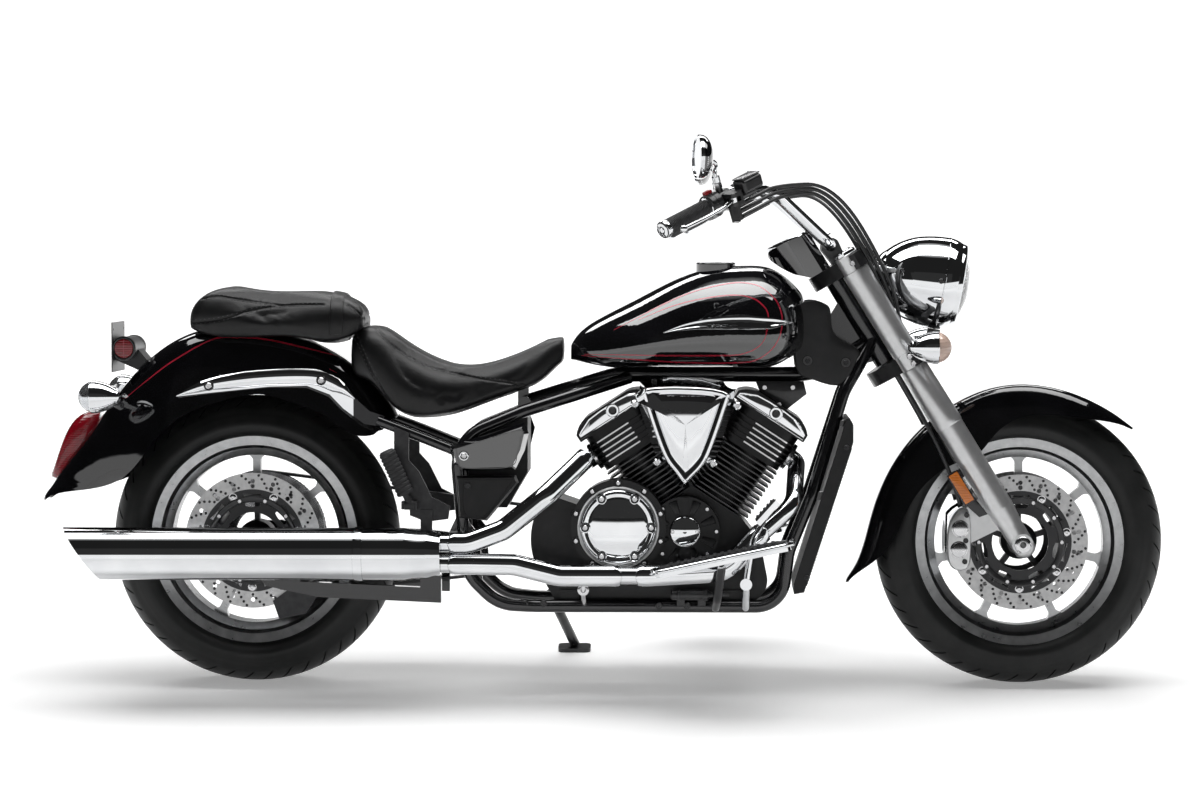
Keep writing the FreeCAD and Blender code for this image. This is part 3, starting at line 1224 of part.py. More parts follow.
# Tail lamp, rear signals on their stalks, and the plate holder on the fender
def rear_lights():
    rings = []
    for x, low, high, half in tail_stations:
        rings.append(saddle_ring(x, low, high, half, seat_shape))
    lamp = skin(rings)
    under = fender_skin(rear_fender_stations, size.rear_tyre_radius, 0, size.part_gap)
    under.Placement = rear_frame
    node(feature(lamp.cut(under), "tail_lamp"), "tail_lamp")
    body = signal("rear_signal")
    body.Placement = FreeCAD.Placement(point(-332, -size.rear_signal_spread, 640), FreeCAD.Rotation(FreeCAD.Vector(0, 0, 1), 180))
    stalk = Part.makeCylinder(9, number(size.rear_signal_spread - size.signal_radius) - 100, point(-318, -100, 640), FreeCAD.Vector(0, -1, 0))
    foot = Part.makeCylinder(20, 46, point(-318, -60, 640), FreeCAD.Vector(0, -1, 0))
    stalk = feature(stalk.fuse(foot).cut(under).removeSplitter(), "rear_signal_stalk")
    both(body, "rear_signals")
    plate = new_body("plate_bracket")
    sketch = outline(plate, "YZ_Plane", [
        (-88, 690), (88, 690), (88, 800), (-88, 800)], -312, "plate")
    pad(plate, sketch, size.plate_thickness)
    for side in (-1, 1):
        hole = circle(plate, "YZ_Plane", size.plate_hole_spread * side / 2, 784, size.plate_hole, -330, "hole")
        pocket(plate, hole, 60, reverse=True)
    arm = outline(plate, "XZ_Plane", [(-309.5, 716), (-309.5, 760), (-262, 742), (-240, 716), (-252, 690)], name="arm")
    pad(plate, arm, 84, True)
    reflector = circle(plate, "XZ_Plane", -286, 742, 26, -78, "reflector")
    pad(plate, reflector, 156)
    node(group([feature(plate_shape(plate, under), "plate_cut"), stalk, mirrored(stalk)], "tail_brackets"), "tail_brackets")


def plate_shape(plate, under):
    doc.recompute()
    shape = plate.Shape.cut(under)
    return max(shape.Solids, key=lambda s: s.Volume)


tail_stations = size.table("tail", ["along", "low", "high", "half"], [
    (-458, 455, 466, 14), (-448, 452, 492, 28), (-428, 452, 548, 38), (-400, 462, 588, 42), (-372, 480, 600, 36), (-350, 500, 602, 20),
])


# Foot controls: rubber-topped boards, the brake pedal and the gear lever.
def foot_controls():
    slope = FreeCAD.Rotation(FreeCAD.Vector(0, 1, 0), -12)
    board = new_body("floorboard")
    plan = outline(board, "XY_Plane", [
        (-140, -52), (140, -52), (150, 0, 160), (130, 52, 120), (-130, 52), (-150, 0, 120)], name="board")
    pad(board, plan, 16)
    board.Placement = FreeCAD.Placement(point(1038, -size.board_aside, 288), slope)
    rail = number(size.cradle_spread + size.rail_radius + size.part_gap)
    low = number(size.rail_height)
    arm = tube([point(1020, -rail, low), point(1020, -150, low), point(1024, -216, 204), point(1034, -size.board_aside, 284)], 9, 40)
    board_arm = feature(arm, "board_arm")
    carrier = doc.addObject("Part::MultiFuse", "board_on_arm")
    carrier.Shapes = [board, board_arm]
    both(carrier, "floorboards")
    pivot = point(1086, -size.board_aside + 66, 236)
    pedal = tube([pivot, point(1100, -size.board_aside + 70, 330), point(1128, -size.board_aside + 24, 388)], 7, 40)
    tread = Part.makeBox(64, 56, 12, point(-32, -28, -6))
    tread.Placement = FreeCAD.Placement(point(1132, -size.board_aside + 12, 396), FreeCAD.Rotation(FreeCAD.Vector(0, 1, 0), -48))
    hub = Part.makeCylinder(13, 60, pivot + point(0, -10, 0), FreeCAD.Vector(0, 1, 0))
    mount = tube([point(1086, -rail, low), point(1086, -148, low), pivot + point(0, 34, 0)], 8, 30)
    brake = feature(pedal.fuse([tread, hub, mount]).removeSplitter(), "brake_pedal")
    left_pivot = sided([pivot], -1)[0]
    gear = tube([left_pivot, point(1130, size.board_aside - 64, 296), point(1172, size.board_aside - 60, 372)], 7, 40)
    toe = Part.makeCylinder(11, 70, point(1172, size.board_aside - 70, 374), FreeCAD.Vector(0, 1, 0))
    hub = Part.makeCylinder(13, 60, left_pivot + point(0, -50, 0), FreeCAD.Vector(0, 1, 0))
    mount = tube(sided([point(1086, -rail, low), point(1086, -148, low), pivot + point(0, 34, 0)], -1), 8, 30)
    gear = feature(gear.fuse([toe, hub, mount]).removeSplitter(), "gear_lever")
    node(group([brake, gear], "foot_levers"), "foot_levers")


# Passenger pegs fold up on their brackets.
def passenger_pegs():
    hinge = point(size.peg_ahead, -size.peg_aside, size.peg_height)
    along = FreeCAD.Vector(-0.44, -0.1, 1).normalize()
    peg = Part.makeCylinder(number(size.peg_radius), number(size.peg_length), hinge + along * 27, along)
    neck = Part.makeCylinder(8, 30, hinge - along * 2, along)
    eye = Part.makeCylinder(10, 21.5, hinge - point(13.5, 0, 0), FreeCAD.Vector(1, 0, 0))
    pair(feature(peg.fuse([neck, eye]).removeSplitter(), "peg"), "passenger_peg")
    bracket = new_body("peg_bracket")
    side = [
        (292, 500), (318, 524), (318, 574), (350, 560), (350, 500), (372, 476), (400, 420), (440, 400),
        (436, 372), (388, 366), (352, 380), (330, 440, 80)]
    face = size.hip_spread + size.rail_radius + size.part_gap
    pad(bracket, outline(bracket, "XZ_Plane", side, face, "bracket"), 12)
    for ahead in (-20, 8.5):
        ear = outline(bracket, "XZ_Plane", [
            (size.peg_ahead + ahead, size.peg_height - 9), (size.peg_ahead + ahead + 6, size.peg_height - 9),
            (size.peg_ahead + ahead + 6, size.peg_height + 8), (size.peg_ahead + ahead, size.peg_height + 8)],
            face + 6, "ear")
        pad(bracket, ear, size.peg_aside - face)
    hanger = new_body("muffler_hanger")
    strip = [(376, 290), (400, 290), (402, 392), (376, 392)]
    inner = size.muffler_aside - size.muffler_radius - size.part_gap
    pad(hanger, outline(hanger, "XZ_Plane", strip, inner - 7, "strip"), 7)
    right = doc.addObject("Part::MultiFuse", "bracket_right")
    right.Shapes = [bracket, hanger]
    node(group([right, mirrored(bracket)], "peg_brackets"), "peg_brackets")


def rear_caliper():
    body = new_body("rear_caliper")
    side = [(60, -172), (118, -160), (150, -112), (118, -76), (84, -104), (46, -132)]
    pad(body, outline(body, "XZ_Plane", side, size.rear_disc_place - 24, "side"), 44)
    slot = circle(body, "XZ_Plane", 0, 0, size.disc_radius + 3, size.rear_disc_place - 4.5, "slot")
    pocket(body, slot, 9, reverse=True)
    lug = [(64, -106), (106, -106), (106, -84), (92, -84), (64, -100)]
    inner = size.arm_spread - size.arm_width / 2 - size.part_gap
    pad(body, outline(body, "XZ_Plane", lug, size.rear_disc_place + 8, "lug"), inner - size.rear_disc_place - 8)
    node(body, "rear_caliper", rear_frame)


# Drive belt: one closed band round both pulleys.
def belt():
    x0, z0 = 0, number(rear_axle_height)
    x1 = number(size.crank_ahead + size.clutch_behind) - 60
    z1 = number(size.crank_height) - 18
    r0, r1 = number(size.pulley_radius) + 0.3, number(size.front_pulley)
    long = math.hypot(x1 - x0, z1 - z0)
    tilt = math.atan2(z1 - z0, x1 - x0)
    spread = math.acos((r0 - r1) / long)

    def on(x, z, r, angle):
        return FreeCAD.Vector(x + r * math.cos(angle), 0, z + r * math.sin(angle))

    def loop(extra):
        up, down = tilt + spread, tilt - spread
        a, b = on(x0, z0, r0 + extra, up), on(x1, z1, r1 + extra, up)
        c, d = on(x1, z1, r1 + extra, down), on(x0, z0, r0 + extra, down)
        edges = [Part.LineSegment(a, b), Part.Arc(b, on(x1, z1, r1 + extra, tilt), c), Part.LineSegment(c, d),
                 Part.Arc(d, on(x0, z0, r0 + extra, tilt + math.pi), a)]
        return Part.Wire([edge.toShape() for edge in edges])

    face = Part.Face(loop(6)).cut(Part.Face(loop(0)))
    band = face.extrude(FreeCAD.Vector(0, number(size.pulley_width) - 6, 0))
    band.translate(point(0, size.pulley_place - size.pulley_width / 2 + 3, 0))
    node(feature(band, "drive_belt"), "drive_belt")
    near = size.pulley_place - size.pulley_width / 2
    face = number(size.case_width / 2 + size.part_gap)
    pulley = Part.makeCylinder(r1 - 0.3, number(size.pulley_width), point(x1, near, z1), FreeCAD.Vector(0, 1, 0))
    pulley = pulley.fuse(Part.makeCylinder(24, number(near) - face + 1, point(x1, face, z1), FreeCAD.Vector(0, 1, 0)))
    node(feature(pulley, "front_pulley"), "front_pulley")


# Side stand: a leg with a foot plate that lies flat on the floor when the machine leans.
def side_stand():
    inner = size.cradle_spread + size.rail_radius + size.part_gap
    pivot = point(size.stand_ahead, inner + 8, size.rail_height)
    foot_aside = number(size.stand_foot_aside)
    lift = foot_aside * math.tan(math.radians(number(size.lean)))
    foot_place = size.stand_ahead + size.stand_foot_ahead
    foot = point(foot_place, foot_aside, lift + 14)
    knee = point(size.stand_ahead + 12, size.cradle_spread + 52, size.rail_height - 38)
    leg = tube([pivot + point(0, 4, 0), knee, foot], 11, 60)
    leg = leg.cut(Part.makeBox(200, 100, 200, point(size.stand_ahead - 100, inner - 100, 60)))
    hub = Part.makeCylinder(19, 16, pivot + point(0, -8, 0), FreeCAD.Vector(0, 1, 0))
    plate = Part.makeBox(74, 50, 9, FreeCAD.Vector(-37, -25, 0))
    plate = plate.makeFillet(12, [e for e in plate.Edges if abs(e.tangentAt(e.FirstParameter).z) > 0.9])
    plate.Placement = FreeCAD.Placement(point(foot_place, foot_aside, lift), lean_turn.inverted())
    stand = leg.fuse([hub, plate]).removeSplitter()
    node(feature(stand, "side_stand"), "side_stand")


# Cables from each control down to the lower clamp, and a brake hose on to the caliper.
def cables():
    inner = -number(size.grip_length) - 2 - number(size.housing_length)
    start = grip_frame().multVec(point(inner - 31.3, 21, -21))
    floor = number(size.clamp_low + size.clamp_thickness + size.part_gap)
    runs = []
    for step in range(3):
        first = start + point(0, 0, 12.5 * (step - 2))
        runs.append(tube([
            first, first + point(96, 76, -6), point(38 + 12 * step, -150, 880 + 3 * step),
            point(38 + 11 * step, -88, 640), point(11 * step - 7, -73, 524), point(11 * step - 7, -73, floor),
        ], 4))
    runs.append(tube([
        point(-38, -86, size.clamp_low - size.part_gap), point(-38, -86, 428), point(-42, -104, 300),
        point(-56, -98, 190), point(-70, -80, 141)], 4.5))
    right = feature(Part.makeCompound(runs), "cables_right")
    both(right, "control_cables", fork_frame)


def build():
    for make in (
        front_wheel_parts, rear_wheel_parts, fork_legs, triple_clamps, handlebar, grips_and_controls,
        mirrors, gauge_pod, headlamp, front_signals, fenders, fender_rails, calipers, frame_parts, swingarm, engine,
        air_cleaner, radiator, exhaust, tank_and_seats, side_covers, rear_lights, foot_controls,
        passenger_pegs, rear_caliper, belt, side_stand, cables,
    ):
        make()
    axle("front_axle", size.front_hub_width, size.fork_spread + size.leg_boss_width / 2 + size.axle_stand_out,
         size.fork_spread - size.leg_boss_width / 2 - size.part_gap, size.front_axle_bore, front_frame)
    doc.recompute()


# The whole machine leans onto its side stand, with the origin under the middle of its box.
def stand_it_up():
    lean = FreeCAD.Placement(FreeCAD.Vector(0, 0, 0), lean_turn)
    box = FreeCAD.BoundBox()
    for item, frame in nodes:
        shape = item.Shape.copy()
        shape.Placement = lean * frame * item.Placement
        box.add(shape.optimalBoundingBox(False))
    stance = FreeCAD.Placement(FreeCAD.Vector(-box.Center.x, -box.Center.y, 0), FreeCAD.Rotation()) * lean
    for item, frame in nodes:
        item.Placement = stance * frame * item.Placement
    doc.recompute()
    return stance, box


def tell(name, stance, spot, direction):
    place = stance.multVec(spot)
    way = stance.Rotation.multVec(direction)
    print(name, *(f"{value:.5f}" for value in (place.x, place.y, place.z, way.x, way.y, way.z)))


build()
stance, box = stand_it_up()
failed = [item.Name for item in doc.Objects if "Invalid" in item.State or "Error" in item.State]
failed += [item.Label for item, frame in nodes if item.Shape.isNull() or not item.Shape.isValid()]
if failed:
    raise SystemExit("failed: " + ", ".join(failed))
os.makedirs("parts", exist_ok=True)
for item, frame in nodes:
    item.Shape.exportStep(f"parts/{item.Label}.step")
print(len(nodes), "nodes, box", box)
across = FreeCAD.Vector(0, 1, 0)
steering_way = fork_frame.Rotation.multVec(FreeCAD.Vector(0, 0, 1))
tell("front_spin", stance, front_frame.Base, across)
tell("rear_spin", stance, rear_frame.Base, across)
tell("steering", stance, head_point(size.clamp_low), steering_way)
tell("stand", stance, point(size.stand_ahead, size.cradle_spread + size.rail_radius + 8, size.rail_height), across)
for side, name in ((-1, "peg_right"), (1, "peg_left")):
    tell(name, stance, point(size.peg_ahead, size.peg_aside * side, size.peg_height), FreeCAD.Vector(1, 0, 0))
    grip_end = grip_frame().Base
    grip_way = grip_frame().Rotation.multVec(FreeCAD.Vector(1, 0, 0))
    spot = FreeCAD.Vector(grip_end.x, -grip_end.y * side, grip_end.z)
    way = FreeCAD.Vector(grip_way.x, -grip_way.y * side, grip_way.z)
    tell("grip" + name[3:], stance, fork_frame.multVec(spot), fork_frame.Rotation.multVec(way))
    tell("plate" + name[3:], stance, point(-312, size.plate_hole_spread * side / 2, 784), FreeCAD.Vector(-1, 0, 0))
tell("axle_bore", stance, front_frame.Base, -across)
tell("outlet", stance, point(size.muffler_tail + size.outlet_depth, -size.muffler_aside, size.muffler_height), FreeCAD.Vector(-1, 0, 0))
lift = size.stand_foot_aside * sine(size.lean) / cosine(size.lean)
foot = point(size.stand_ahead + size.stand_foot_ahead, size.stand_foot_aside, lift)
tell("foot", stance, foot, lean_turn.inverted().multVec(FreeCAD.Vector(0, 0, -1)))
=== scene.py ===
import bpy
import json
import math
from mathutils import Matrix, Vector
from mathutils.bvhtree import BVHTree

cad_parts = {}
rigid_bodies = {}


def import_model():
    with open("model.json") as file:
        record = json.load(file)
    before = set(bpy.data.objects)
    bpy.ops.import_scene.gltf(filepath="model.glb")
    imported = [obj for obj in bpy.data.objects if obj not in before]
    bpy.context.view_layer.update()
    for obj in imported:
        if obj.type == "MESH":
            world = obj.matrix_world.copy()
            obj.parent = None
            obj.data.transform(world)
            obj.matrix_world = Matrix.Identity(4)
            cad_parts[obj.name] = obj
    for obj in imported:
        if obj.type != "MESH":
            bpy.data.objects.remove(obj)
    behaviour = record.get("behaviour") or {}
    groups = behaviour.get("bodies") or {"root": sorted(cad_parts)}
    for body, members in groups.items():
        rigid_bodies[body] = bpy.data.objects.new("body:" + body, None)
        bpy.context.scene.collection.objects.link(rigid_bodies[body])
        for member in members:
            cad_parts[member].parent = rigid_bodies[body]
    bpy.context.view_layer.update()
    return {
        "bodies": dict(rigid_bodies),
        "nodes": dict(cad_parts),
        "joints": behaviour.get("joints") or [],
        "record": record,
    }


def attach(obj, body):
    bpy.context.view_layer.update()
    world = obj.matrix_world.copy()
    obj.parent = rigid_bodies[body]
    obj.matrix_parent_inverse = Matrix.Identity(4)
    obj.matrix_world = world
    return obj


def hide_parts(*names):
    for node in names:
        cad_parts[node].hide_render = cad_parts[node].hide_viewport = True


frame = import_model()
nodes = frame["nodes"]
print("frame loaded", len(nodes), "nodes")


def turned(angle, axis):
    return Matrix.Rotation(math.radians(angle), 4, axis)


def newObject(name, data):
    piece = bpy.data.objects.new(name, data)
    bpy.context.scene.collection.objects.link(piece)
    return piece


# The machine's own upright frame: x forward from the rear axle, y to its left, z up, in millimetres
stance = {"wheelbase": 1690, "axleHeight": 317.0, "rearHeight": 319.5, "lean": 10, "rake": 31.5,
          "crank": (968, 0, 328)}
frontSpin = next(joint for joint in frame["joints"] if joint["name"] == "front_wheel_spin")
leanTurn = turned(-stance["lean"], "X")
frontAxle = Vector((stance["wheelbase"], 0, stance["axleHeight"]))
bikeShift = Vector(frontSpin["pos_m"]) - leanTurn @ (frontAxle * 0.001)
bikeFrame = Matrix.Translation(bikeShift) @ leanTurn @ Matrix.Scale(0.001, 4)
forkFrame = bikeFrame @ Matrix.Translation(frontAxle) @ turned(-stance["rake"], "Y")
frontFrame = bikeFrame @ Matrix.Translation(frontAxle)
rearFrame = bikeFrame @ Matrix.Translation((0, 0, stance["rearHeight"]))
crankFrame = bikeFrame @ Matrix.Translation(stance["crank"])
toRight = turned(90, "X")  # turns a piece's own z to the machine's right
veeAngle = 33  # each cylinder's lean from the upright
leftTwin = Matrix.Scale(-1, 4, (0, 1, 0))


# The same place on the machine's other side
def mirrored(place):
    return bikeFrame @ leftTwin @ bikeFrame.inverted() @ place


# Camera at the photograph's place, square to the leaning machine
shot = {"eye": (1007.3, -8500, 957), "aim": (763.3, 0, 626.5), "lens": 114.95}
cameraData = bpy.data.cameras.new("camera")
camera = newObject("camera", cameraData)
eye = bikeFrame @ Vector(shot["eye"])
back = (eye - bikeFrame @ Vector(shot["aim"])).normalized()
side = leanTurn.to_3x3().col[2].cross(back).normalized()
camera.matrix_world = Matrix.Translation(eye) @ Matrix((side, back.cross(side), back)).transposed().to_4x4()
cameraData.lens = shot["lens"]
cameraData.sensor_width = 36
cameraData.clip_end = 100
bpy.context.scene.camera = camera
print("camera placed")


# Ways of making and placing pieces
def clearAll():
    bpy.ops.object.select_all(action="DESELECT")


def activate(piece):
    clearAll()
    piece.select_set(True)
    bpy.context.view_layer.objects.active = piece


def editAll(piece, *steps):
    activate(piece)
    bpy.ops.object.mode_set(mode="EDIT")
    bpy.ops.mesh.select_all(action="SELECT")
    for step in steps:
        step()
    bpy.ops.object.mode_set(mode="OBJECT")


def outward():
    bpy.ops.mesh.remove_doubles(threshold=0.0001)
    bpy.ops.mesh.normals_make_consistent(inside=False)


def useModifier(piece, kind, **values):
    modifier = piece.modifiers.new(kind.lower(), kind)
    for name, value in values.items():
        setattr(modifier, name, value)
    activate(piece)
    bpy.ops.object.modifier_apply(modifier=modifier.name)


def roundEdges(piece, width, segments=2, angle=30):
    useModifier(piece, "BEVEL", width=width, segments=segments, limit_method="ANGLE",
                angle_limit=math.radians(angle))


def fromPoints(name, points, edges=(), faces=()):
    mesh = bpy.data.meshes.new(name)
    mesh.from_pydata([tuple(p) for p in points], edges, faces)
    piece = newObject(name, mesh)
    return piece


def cylinder(radius, depth, sides=32, edge=0.0, top=None):
    clearAll()
    if top is None:
        bpy.ops.mesh.primitive_cylinder_add(vertices=sides, radius=radius, depth=depth,
                                            location=(0, 0, depth / 2))
    else:
        bpy.ops.mesh.primitive_cone_add(vertices=sides, radius1=radius, radius2=top, depth=depth,
                                        location=(0, 0, depth / 2))
    piece = bpy.context.object
    bpy.ops.object.transform_apply(location=True, rotation=True, scale=True)
    if edge:
        roundEdges(piece, edge, 2, 50)
    return piece


def gridFaces(lines, count):
    return [(a * count + b, a * count + b + 1, (a + 1) * count + b + 1, (a + 1) * count + b)
            for a in range(lines - 1) for b in range(count - 1)]


# A flat outline in x and y, pushed up by its depth
def plate(points, depth, edge=0.0):
    count = len(points)
    piece = fromPoints("plate", [(x, y, 0) for x, y in points], faces=[list(range(count))])
    editAll(piece, lambda: bpy.ops.mesh.extrude_region_move(TRANSFORM_OT_translate={"value": (0, 0, depth)}))
    editAll(piece, outward)
    if edge:
        roundEdges(piece, edge)
    return piece


def slab(halfX, halfY, depth, edge=0.0):
    return plate([(-halfX, -halfY), (halfX, -halfY), (halfX, halfY), (-halfX, halfY)], depth, edge)


# A profile of (radius, height) turned round z
def lathe(profile, steps=64):
    piece = fromPoints("lathe", [(r, 0, z) for r, z in profile], [(i, i + 1) for i in range(len(profile) - 1)])
    editAll(piece, lambda: bpy.ops.mesh.spin(steps=steps, angle=math.tau, axis=(0, 0, 1), center=(0, 0, 0)),
            outward)
    return piece


def smoothLine(points, step=6.0):
    points = [Vector(p) for p in points]
    ends = [points[0] * 2 - points[1], *points, points[-1] * 2 - points[-2]]
    line = []
    for a, b, c, d in zip(ends, ends[1:], ends[2:], ends[3:]):
        count = max(1, int((c - b).length / step))
        for index in range(count):
            t = index / count
            line.append(0.5 * (2 * b + (c - a) * t + (2 * a - 5 * b + 4 * c - d) * t * t
                               + (3 * b - a - 3 * c + d) * t * t * t))
    line.append(points[-1])
    return line


def pipe(points, radius, closed=False, rings=3):
    data = bpy.data.curves.new("pipe", "CURVE")
    data.dimensions = "3D"
    spline = data.splines.new("POLY")
    spline.points.add(len(points) - 1)
    for spot, point in zip(spline.points, points):
        spot.co = (*point, 1)
    spline.use_cyclic_u = closed
    data.bevel_depth = radius
    data.bevel_resolution = rings
    data.use_fill_caps = True
    piece = newObject("pipe", data)
    activate(piece)
    bpy.ops.object.convert(target="MESH")
    return bpy.context.object


def settle(piece, name, body, look, place=Matrix(), angle=35):
    piece.data.transform(place @ piece.matrix_world)
    piece.matrix_world = Matrix.Identity(4)
    if place.determinant() < 0:
        piece.data.flip_normals()
    piece.name = name
    piece.data.name = name
    piece.data.materials.clear()
    piece.data.materials.append(finish[look])
    activate(piece)
    bpy.ops.object.shade_smooth_by_angle(angle=math.radians(angle))
    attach(piece, body)
    return piece


def joined(pieces):
    activate(pieces[0])
    for piece in pieces:
        piece.select_set(True)
    bpy.ops.object.join()
    return bpy.context.object


# One model, and a copy with its own mesh at each place
def copies(model, places):
    made = []
    for place in places:
        twin = model.copy()
        twin.data = model.data.copy()
        twin.data.transform(place)
        if place.determinant() < 0:
            twin.data.flip_normals()
        bpy.context.scene.collection.objects.link(twin)
        made.append(twin)
    bpy.data.objects.remove(model)
    return joined(made)


def at(x, y, z, turn=Matrix()):
    return Matrix.Translation((x, y, z)) @ turn


def aimed(point, way):
    return Matrix.Translation(point) @ Vector(way).to_track_quat("Z", "Y").to_matrix().to_4x4()


def surface(name):
    return BVHTree.FromObject(nodes[name] if name in nodes else bpy.data.objects[name],
                              bpy.context.evaluated_depsgraph_get())


# Points on a surface, seen square from the machine's side: hand is -1 for its right, 1 for its left
def onSide(tree, points, hand, proud=0.0, place=None):
    place = place or bikeFrame
    way = (place.to_3x3() @ Vector((0, -hand, 0))).normalized()
    line = []
    for x, z in points:
        spot, normal, index, far = tree.ray_cast(place @ Vector((x, hand * 700, z)), way)
        if spot:
            line.append(spot + normal * proud * 0.001)
    return line


def flatLine(points, step=6.0):
    return [(p.x, p.y) for p in smoothLine([(x, z, 0) for x, z in points], step)]


# Materials: a value is a link when it is a socket, and a constant otherwise
def feed(tree, node, values):
    for name, value in values.items():
        if isinstance(value, bpy.types.NodeSocket):
            tree.links.new(value, node.inputs[name])
        else:
            node.inputs[name].default_value = value


def addNode(tree, kind, values={}, **settings):
    node = tree.nodes.new("ShaderNode" + kind)
    for name, value in settings.items():
        setattr(node, name, value)
    feed(tree, node, values)
    return node


def newMaterial(name):
    material = bpy.data.materials.new(name)
    material.use_nodes = True
    tree = material.node_tree
    return material, tree, tree.nodes["Principled BSDF"], addNode(tree, "TexCoord").outputs["Object"]


def addNoise(tree, place, scale, detail=3, rough=0.5, stretch=None):
    if stretch:
        place = addNode(tree, "Mapping", {"Vector": place, "Scale": stretch}).outputs["Vector"]
    values = {"Vector": place, "Scale": scale, "Detail": detail, "Roughness": rough}
    return addNode(tree, "TexNoise", values).outputs["Fac"]


def ramp(tree, factor, low, high, dark, light):
    band = addNode(tree, "ValToRGB", {"Fac": factor})
    for stop, spot, tone in zip(band.color_ramp.elements, (low, high), (dark, light)):
        stop.position = spot
        stop.color = (*tone, 1)
    return band.outputs["Color"]


def spread(tree, factor, low, high):
    return addNode(tree, "MapRange", {"Value": factor, "To Min": low, "To Max": high}).outputs["Result"]


def bump(tree, shader, height, strength, distance):
    relief = addNode(tree, "Bump", {"Height": height, "Strength": strength, "Distance": distance})
    tree.links.new(relief.outputs["Normal"], shader.inputs["Normal"])


def calculate(tree, operation, *values):
    return addNode(tree, "Math", dict(enumerate(values)), operation=operation).outputs[0]


# Turns object coordinates into a frame of the machine, in metres
def placeIn(tree, place, own):
    back = own.inverted()
    values = {"Vector": place, "Location": back.translation * 0.001, "Rotation": back.to_euler()}
    moved = addNode(tree, "Mapping", values).outputs["Vector"]
    return addNode(tree, "SeparateXYZ", {"Vector": moved}).outputs


# dark and light are the two tones that a surface drifts between
finishes = {
    "chrome": dict(dark=(0.66, 0.67, 0.685), light=(0.77, 0.78, 0.79), metal=1, rough=(0.02, 0.06), noise=9),
    "bright_alloy": dict(dark=(0.55, 0.55, 0.56), light=(0.68, 0.68, 0.69), metal=1, rough=(0.16, 0.26), noise=30,
                         grain=(400, 0.04)),
    "satin_alloy": dict(dark=(0.6, 0.605, 0.61), light=(0.66, 0.665, 0.67), metal=0.72, rough=(0.27, 0.32),
                        noise=60, grain=(900, 0.06), stretch=(1, 1, 0.2)),
    "wheel_alloy": dict(dark=(0.34, 0.345, 0.35), light=(0.46, 0.465, 0.47), metal=1, rough=(0.24, 0.34), noise=50,
                        grain=(700, 0.06)),
    "machined_alloy": dict(dark=(0.44, 0.445, 0.45), light=(0.58, 0.585, 0.59), metal=1, rough=(0.2, 0.32),
                           noise=40, grain=(700, 0.06)),
    "disc_steel": dict(dark=(0.38, 0.38, 0.385), light=(0.5, 0.5, 0.5), metal=1, rough=(0.24, 0.36), noise=80,
                       grain=(500, 0.08)),
    "dark_metal": dict(dark=(0.022, 0.022, 0.024), light=(0.05, 0.05, 0.052), metal=0.4, rough=(0.34, 0.5),
                       noise=50, grain=(900, 0.08)),
    "black_metal": dict(dark=(0.012, 0.012, 0.013), light=(0.03, 0.03, 0.032), metal=0.3, rough=(0.28, 0.42),
                        noise=45, grain=(1200, 0.08), coat=0.3),
    "frame_black": dict(dark=(0.006, 0.006, 0.007), light=(0.013, 0.013, 0.015), metal=0.2, rough=(0.14, 0.26),
                        noise=25, coat=0.6),
    # slot_black is plain black for dials, seams, washers and bolts, and is also painted shade in the disc drill
    # holes and the clutch cap bolt wells
    "slot_black": dict(dark=(0.004, 0.004, 0.005), light=(0.01, 0.01, 0.011), metal=0.5, rough=(0.12, 0.22),
                       noise=25, coat=0.4),
    "black_paint": dict(dark=(0.002, 0.002, 0.0025), light=(0.006, 0.006, 0.0075), metal=0, rough=(0.03, 0.07),
                        noise=14, coat=1, gloss=1.75),
    "fender_paint": dict(dark=(0.0015, 0.0015, 0.002), light=(0.004, 0.004, 0.005), metal=0, rough=(0.03, 0.07),
                         noise=14, coat=0.85, gloss=1.52, shine=0.4),
    "engine_black": dict(dark=(0.004, 0.004, 0.0045), light=(0.013, 0.013, 0.014), metal=0.15, rough=(0.26, 0.42),
                         noise=35, grain=(1400, 0.14), shine=0.4),
    "dark_plastic": dict(dark=(0.006, 0.006, 0.0065), light=(0.015, 0.015, 0.016), metal=0, rough=(0.38, 0.52),
                         noise=30, grain=(1600, 0.16), shine=0.34),
    "tyre": dict(dark=(0.011, 0.0115, 0.0115), light=(0.021, 0.0215, 0.0215), metal=0, rough=(0.4, 0.52), noise=18,
                 grain=(900, 0.2), shine=0.26),
    "grip_rubber": dict(dark=(0.018, 0.018, 0.019), light=(0.04, 0.04, 0.042), metal=0, rough=(0.55, 0.72),
                        noise=60, grain=(1500, 0.2)),
    "cable_rubber": dict(dark=(0.01, 0.01, 0.011), light=(0.022, 0.022, 0.024), metal=0, rough=(0.3, 0.42),
                         noise=70, grain=(1200, 0.1)),
    "stripe_red": dict(dark=(0.36, 0.012, 0.03), light=(0.46, 0.02, 0.045), metal=0, rough=(0.1, 0.16), noise=40,
                       coat=1),
    "switch_red": dict(dark=(0.42, 0.012, 0.016), light=(0.55, 0.02, 0.025), metal=0, rough=(0.3, 0.4), noise=90,
                       grain=(900, 0.08)),
    "thread": dict(dark=(0.035, 0.035, 0.037), light=(0.075, 0.075, 0.08), metal=0, rough=(0.5, 0.7), noise=300),
    "dial_white": dict(dark=(0.62, 0.62, 0.6), light=(0.7, 0.7, 0.68), metal=0, rough=(0.4, 0.5), noise=200),
    "mirror_glass": dict(dark=(0.7, 0.72, 0.74), light=(0.76, 0.78, 0.8), metal=1, rough=(0.005, 0.015), noise=5),
    "reflector": dict(dark=(0.74, 0.74, 0.75), light=(0.84, 0.84, 0.85), metal=1, rough=(0.04, 0.09), noise=25),
}
